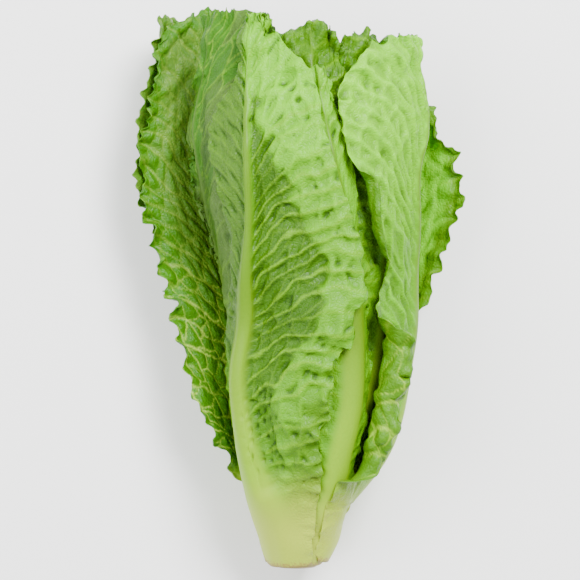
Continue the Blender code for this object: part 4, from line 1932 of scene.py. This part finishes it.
    def outer(self) -> list[Leaf]:
        """The loose leaves behind the head.

        Returns:
            The leaves, from the innermost.
        """
        return [
            Leaf(
                name="right_back_leaf", slot="outer_leaf", finish=RIGHT_BACK, base=3, tip=246,
                left_frill=curve((0, 1.0)), right_frill=curve((0, 1.0)),
                frill_width=curve((0, 14), (150, 10), (246, 6)),
                rib=Line(fifths(3, 246, (148, 145, 138, 130, 122))),
                left=Line(curve((3, 128), (50, 124), (112, 106), (185, 104), (246, 102))),
                right=Line(fifths(3, 246, (178, 180, 179, 172, 154))),
                rib_reach=curve((3, 0.6), (52, 1.04), (112, 1.10), (185, 1.12), (246, 1.06)),
                left_reach=curve(
                    (3, 0.5), (52, 0.96), (112, 1.04), (129, 1.09), (135, 1.21), (145, 1.24),
                    (157, 1.28), (172, 1.38), (191, 1.39), (205, 1.34), (219, 1.20),
                    (228, 1.11), (246, 1.00),
                ),
                right_reach=fifths(3, 246, (0.5, 0.86, 0.88, 0.88, 0.90)),
                drop=(14, 30),
                margin=Margin(
                    seed=40, tooth=2.6, tooth_length=8.0,
                    left=curve((0, 0.3), (100, 1.2), (150, 2.4), (246, 2.4)),
                ),
                relief=Relief(seed=40, cell=11.0, spacing=10.0, depth=1.6, swell=2.4),
                rows=240, columns=130,
            ),
            Leaf(
                name="left_outer_leaf", slot="outer_leaf", finish=OUTER, base=2, tip=281,
                left_frill=curve((0, 1.0)), right_frill=curve((0, 1.0)),
                frill_width=curve((0, 14), (140, 19), (200, 15), (281, 7)),
                rib=Line(fifths(2, 281, (-112, -126, -128, -126, -132))),
                left=Line(fifths(2, 281, (-148, -170, -176, -176, -160))),
                right=Line(curve(
                    (2, -128), (34, -124), (50, -104), (62, -96), (127, -98), (210, -100),
                    (281, -94),
                )),
                rib_reach=curve((2, 0.5), (57, 1.02), (127, 1.10), (210, 1.12), (281, 1.10)),
                left_reach=fifths(2, 281, (0.5, 0.92, 0.96, 0.96, 1.00)),
                right_reach=curve(
                    (2, 0.5), (20, 0.80), (35, 0.92), (42, 1.04), (60, 1.18), (75, 1.31),
                    (90, 1.43), (103, 1.48), (122, 1.49), (134, 1.47), (147, 1.50),
                    (167, 1.48), (185, 1.45), (200, 1.42), (219, 1.38), (235, 1.36),
                    (249, 1.33), (264, 1.27), (275, 1.14), (281, 1.1),
                ),
                drop=(40, 14), clearance=6.5,
                margin=Margin(
                    seed=41, tooth=3.0, tooth_length=8.5,
                    right=curve((0, 0.4), (40, 1.6), (90, 2.6), (200, 2.8), (281, 2.0)),
                ),
                relief=Relief(seed=41, cell=7.0, spacing=8.5, depth=1.8, swell=3.2),
                rows=270, columns=140,
            ),
            self._banded(
                "top_left_back_leaf", 6, 277, (-150, -148, -142, -136, -128),
                ((32, 32, 36, 40, 34), (18, 22, 28, 36, 30)),
                ((0, 1.06, 1.34, 1.38, 1.34), (0, 0.98, 1.04, 1.04, 1.06),
                 (0, 0.98, 1.10, 1.24, 1.30)),
                slot="outer_leaf", finish=OUTER, drop=(30, 3),
                margin=Margin(seed=42, tooth=2.4, tooth_length=8.0),
                relief=Relief(seed=42), rows=230, columns=110,
            ),
        ]


class CoreStem:
    """The cut stem at the heart of the butt, a turned solid."""

    NODE = "core_stem"
    AROUND = 96
    HEIGHT = 52.0
    RADIUS = 11.0
    NARROWS = 7.6
    RIM_HEIGHT = 1.2
    STEPS = 24
    # The cut face, as a radius and a height: its middle, its worn rim and its rounded edge.
    CUT = ((0.02, 1.1), (3.0, 0.9), (6.0, 0.4), (8.6, 0.0), (10.0, 0.1), (10.9, 0.9))

    def build(self, material: bpy.types.Material) -> bpy.types.Object:
        """Turns the stem round the head's axis.

        Args:
            material: the stem's finish.

        Returns:
            The stem's object, riding on the root.
        """
        rising = self.HEIGHT - self.RIM_HEIGHT
        cone = [
            (self.RADIUS - self.NARROWS * k / self.STEPS, self.RIM_HEIGHT + rising * k / self.STEPS)
            for k in range(self.STEPS + 1)
        ]
        profile = [*self.CUT, *cone, (1.0, self.HEIGHT + 1.4), (0.02, self.HEIGHT + 1.8)]
        radius, height = np.array(profile).T
        angle = np.linspace(0, 2 * math.pi, self.AROUND, endpoint=False)
        wobble = 1 + 0.012 * np.sin(3 * angle + 0.7) + 0.010 * np.sin(7 * angle)
        x = HEAD.axis_x.at(height)[:, None] + radius[:, None] * wobble * np.sin(angle)
        z = HEAD.axis_z.at(height)[:, None] + radius[:, None] * wobble * np.cos(angle)
        y = np.broadcast_to(height[:, None], x.shape)
        points = np.stack([x, y, z], axis=-1)
        rows = np.arange(points.size // 3).reshape(x.shape)
        after = np.roll(rows, -1, axis=1)
        quads = np.stack([rows[:-1], after[:-1], after[1:], rows[1:]], axis=-1).reshape(-1, 4)
        flat = points.reshape(-1, 3)
        obj = make_object(self.NODE + "_flesh", (flat - ORIGIN) * MM, quads)
        ring = np.repeat(np.clip(radius / self.RADIUS, 0, 1), self.AROUND)
        cut = np.repeat(rise(height, 1.6, 1.0), self.AROUND)
        set_numbers(obj.data, "ring", ring)
        set_numbers(obj.data, "cut", cut)
        obj.data.materials.append(material)
        close_ends(obj)
        ride_as(obj, self.NODE)
        return obj


def close_ends(obj: bpy.types.Object) -> None:
    """Fills the pinholes at the two ends of a turned solid.

    Args:
        obj: the turned solid.
    """
    made = bmesh.new()
    made.from_mesh(obj.data)
    bmesh.ops.holes_fill(made, edges=[edge for edge in made.edges if edge.is_boundary], sides=0)
    bmesh.ops.recalc_face_normals(made, faces=made.faces)
    made.to_mesh(obj.data)
    made.free()


def ride_as(obj: bpy.types.Object, node: str) -> None:
    """Parents a piece to the root and hides the CAD node that it stands for.

    Args:
        obj: the piece.
        node: the CAD node's name.
    """
    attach(obj, "root")
    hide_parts(node)


class Lettuce:
    """The whole head."""

    def __init__(self) -> None:
        """Prepares the finishes and the vein tree."""
        self.finishes = FinishMaker()
        self.veins = ReliefTree()

    def build(self) -> None:
        """Builds every piece of the head."""
        drape = Drape()
        total = 0
        for leaf in Leaves().all():
            obj = LeafSheet(leaf, drape.lay(leaf)).build()
            self.veins.apply(obj, leaf.relief, self.finishes.get(leaf.finish))
            obj.name = leaf.name + "_blade"
            ride_as(obj, leaf.name)
            total += len(obj.data.polygons) * 2
            log.info("%s: %d faces", obj.name, len(obj.data.polygons))
        stem = CoreStem().build(self.finishes.stem())
        log.info("%s: %d faces", stem.name, len(stem.data.polygons))
        log.info("about %d triangles in all", total)


# --------------------------------------------------------------------------------------------
# The studio
# --------------------------------------------------------------------------------------------


class Studio:
    """A pale floor, soft light and the camera, which looks straight down on the head."""

    MIDDLE = Vector((-0.0026, 0.0011, 0.045))
    DISTANCE = 1.203
    SKY = 1.12
    FLOOR_SIZE = 12.0
    FLOOR_COLOUR: Colour = (0.9, 0.9, 0.9)

    def build(self) -> None:
        """Makes the floor, the lights and the camera."""
        self._floor()
        self._light("key", (0.50, 0.70, 1.30), size=0.55, power=60.0)
        self._light("fill", (-0.9, 0.1, 1.2), size=1.2, power=27.0)
        self._world()
        self._camera()

    def _floor(self) -> None:
        """A wide pale floor at the height that the head rests on."""
        bpy.ops.mesh.primitive_plane_add(size=self.FLOOR_SIZE, location=(0, 0, 0))
        floor = bpy.context.object
        floor.name = "floor"
        floor.data.materials.append(plain("pale_floor", self.FLOOR_COLOUR, roughness=0.8))

    def _light(
        self, name: str, place: tuple[float, float, float], size: float, power: float
    ) -> None:
        """A square lamp that faces the head.

        Args:
            name: the lamp's name.
            place: where it stands, in metres.
            size: the length of its side.
            power: its power in watts.
        """
        lamp = bpy.data.lights.new(name, "AREA")
        lamp.size = size
        lamp.energy = power
        obj = bpy.data.objects.new(name, lamp)
        obj.location = place
        obj.rotation_euler = (self.MIDDLE - Vector(place)).to_track_quat("-Z", "Y").to_euler()
        bpy.context.scene.collection.objects.link(obj)

    def _world(self) -> None:
        """An even pale sky."""
        world = bpy.data.worlds.new("studio")
        world.use_nodes = True
        back = world.node_tree.nodes["Background"]
        back.inputs["Color"].default_value = (1.0, 1.0, 1.0, 1.0)
        back.inputs["Strength"].default_value = self.SKY
        bpy.context.scene.world = world

    def _camera(self) -> None:
        """A long lens straight above the head, with the tips of its leaves upwards."""
        camera = bpy.data.cameras.new("camera")
        camera.lens = 150.0
        camera.sensor_width = 36.0
        camera.clip_start, camera.clip_end = 0.01, 30.0
        obj = bpy.data.objects.new("camera", camera)
        obj.location = self.MIDDLE + Vector((0, 0, self.DISTANCE))
        bpy.context.scene.collection.objects.link(obj)
        bpy.context.scene.camera = obj


def main() -> None:
    """Builds the head and the studio."""
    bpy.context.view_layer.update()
    Lettuce().build()
    Studio().build()


if __name__ == "__main__":
    main()
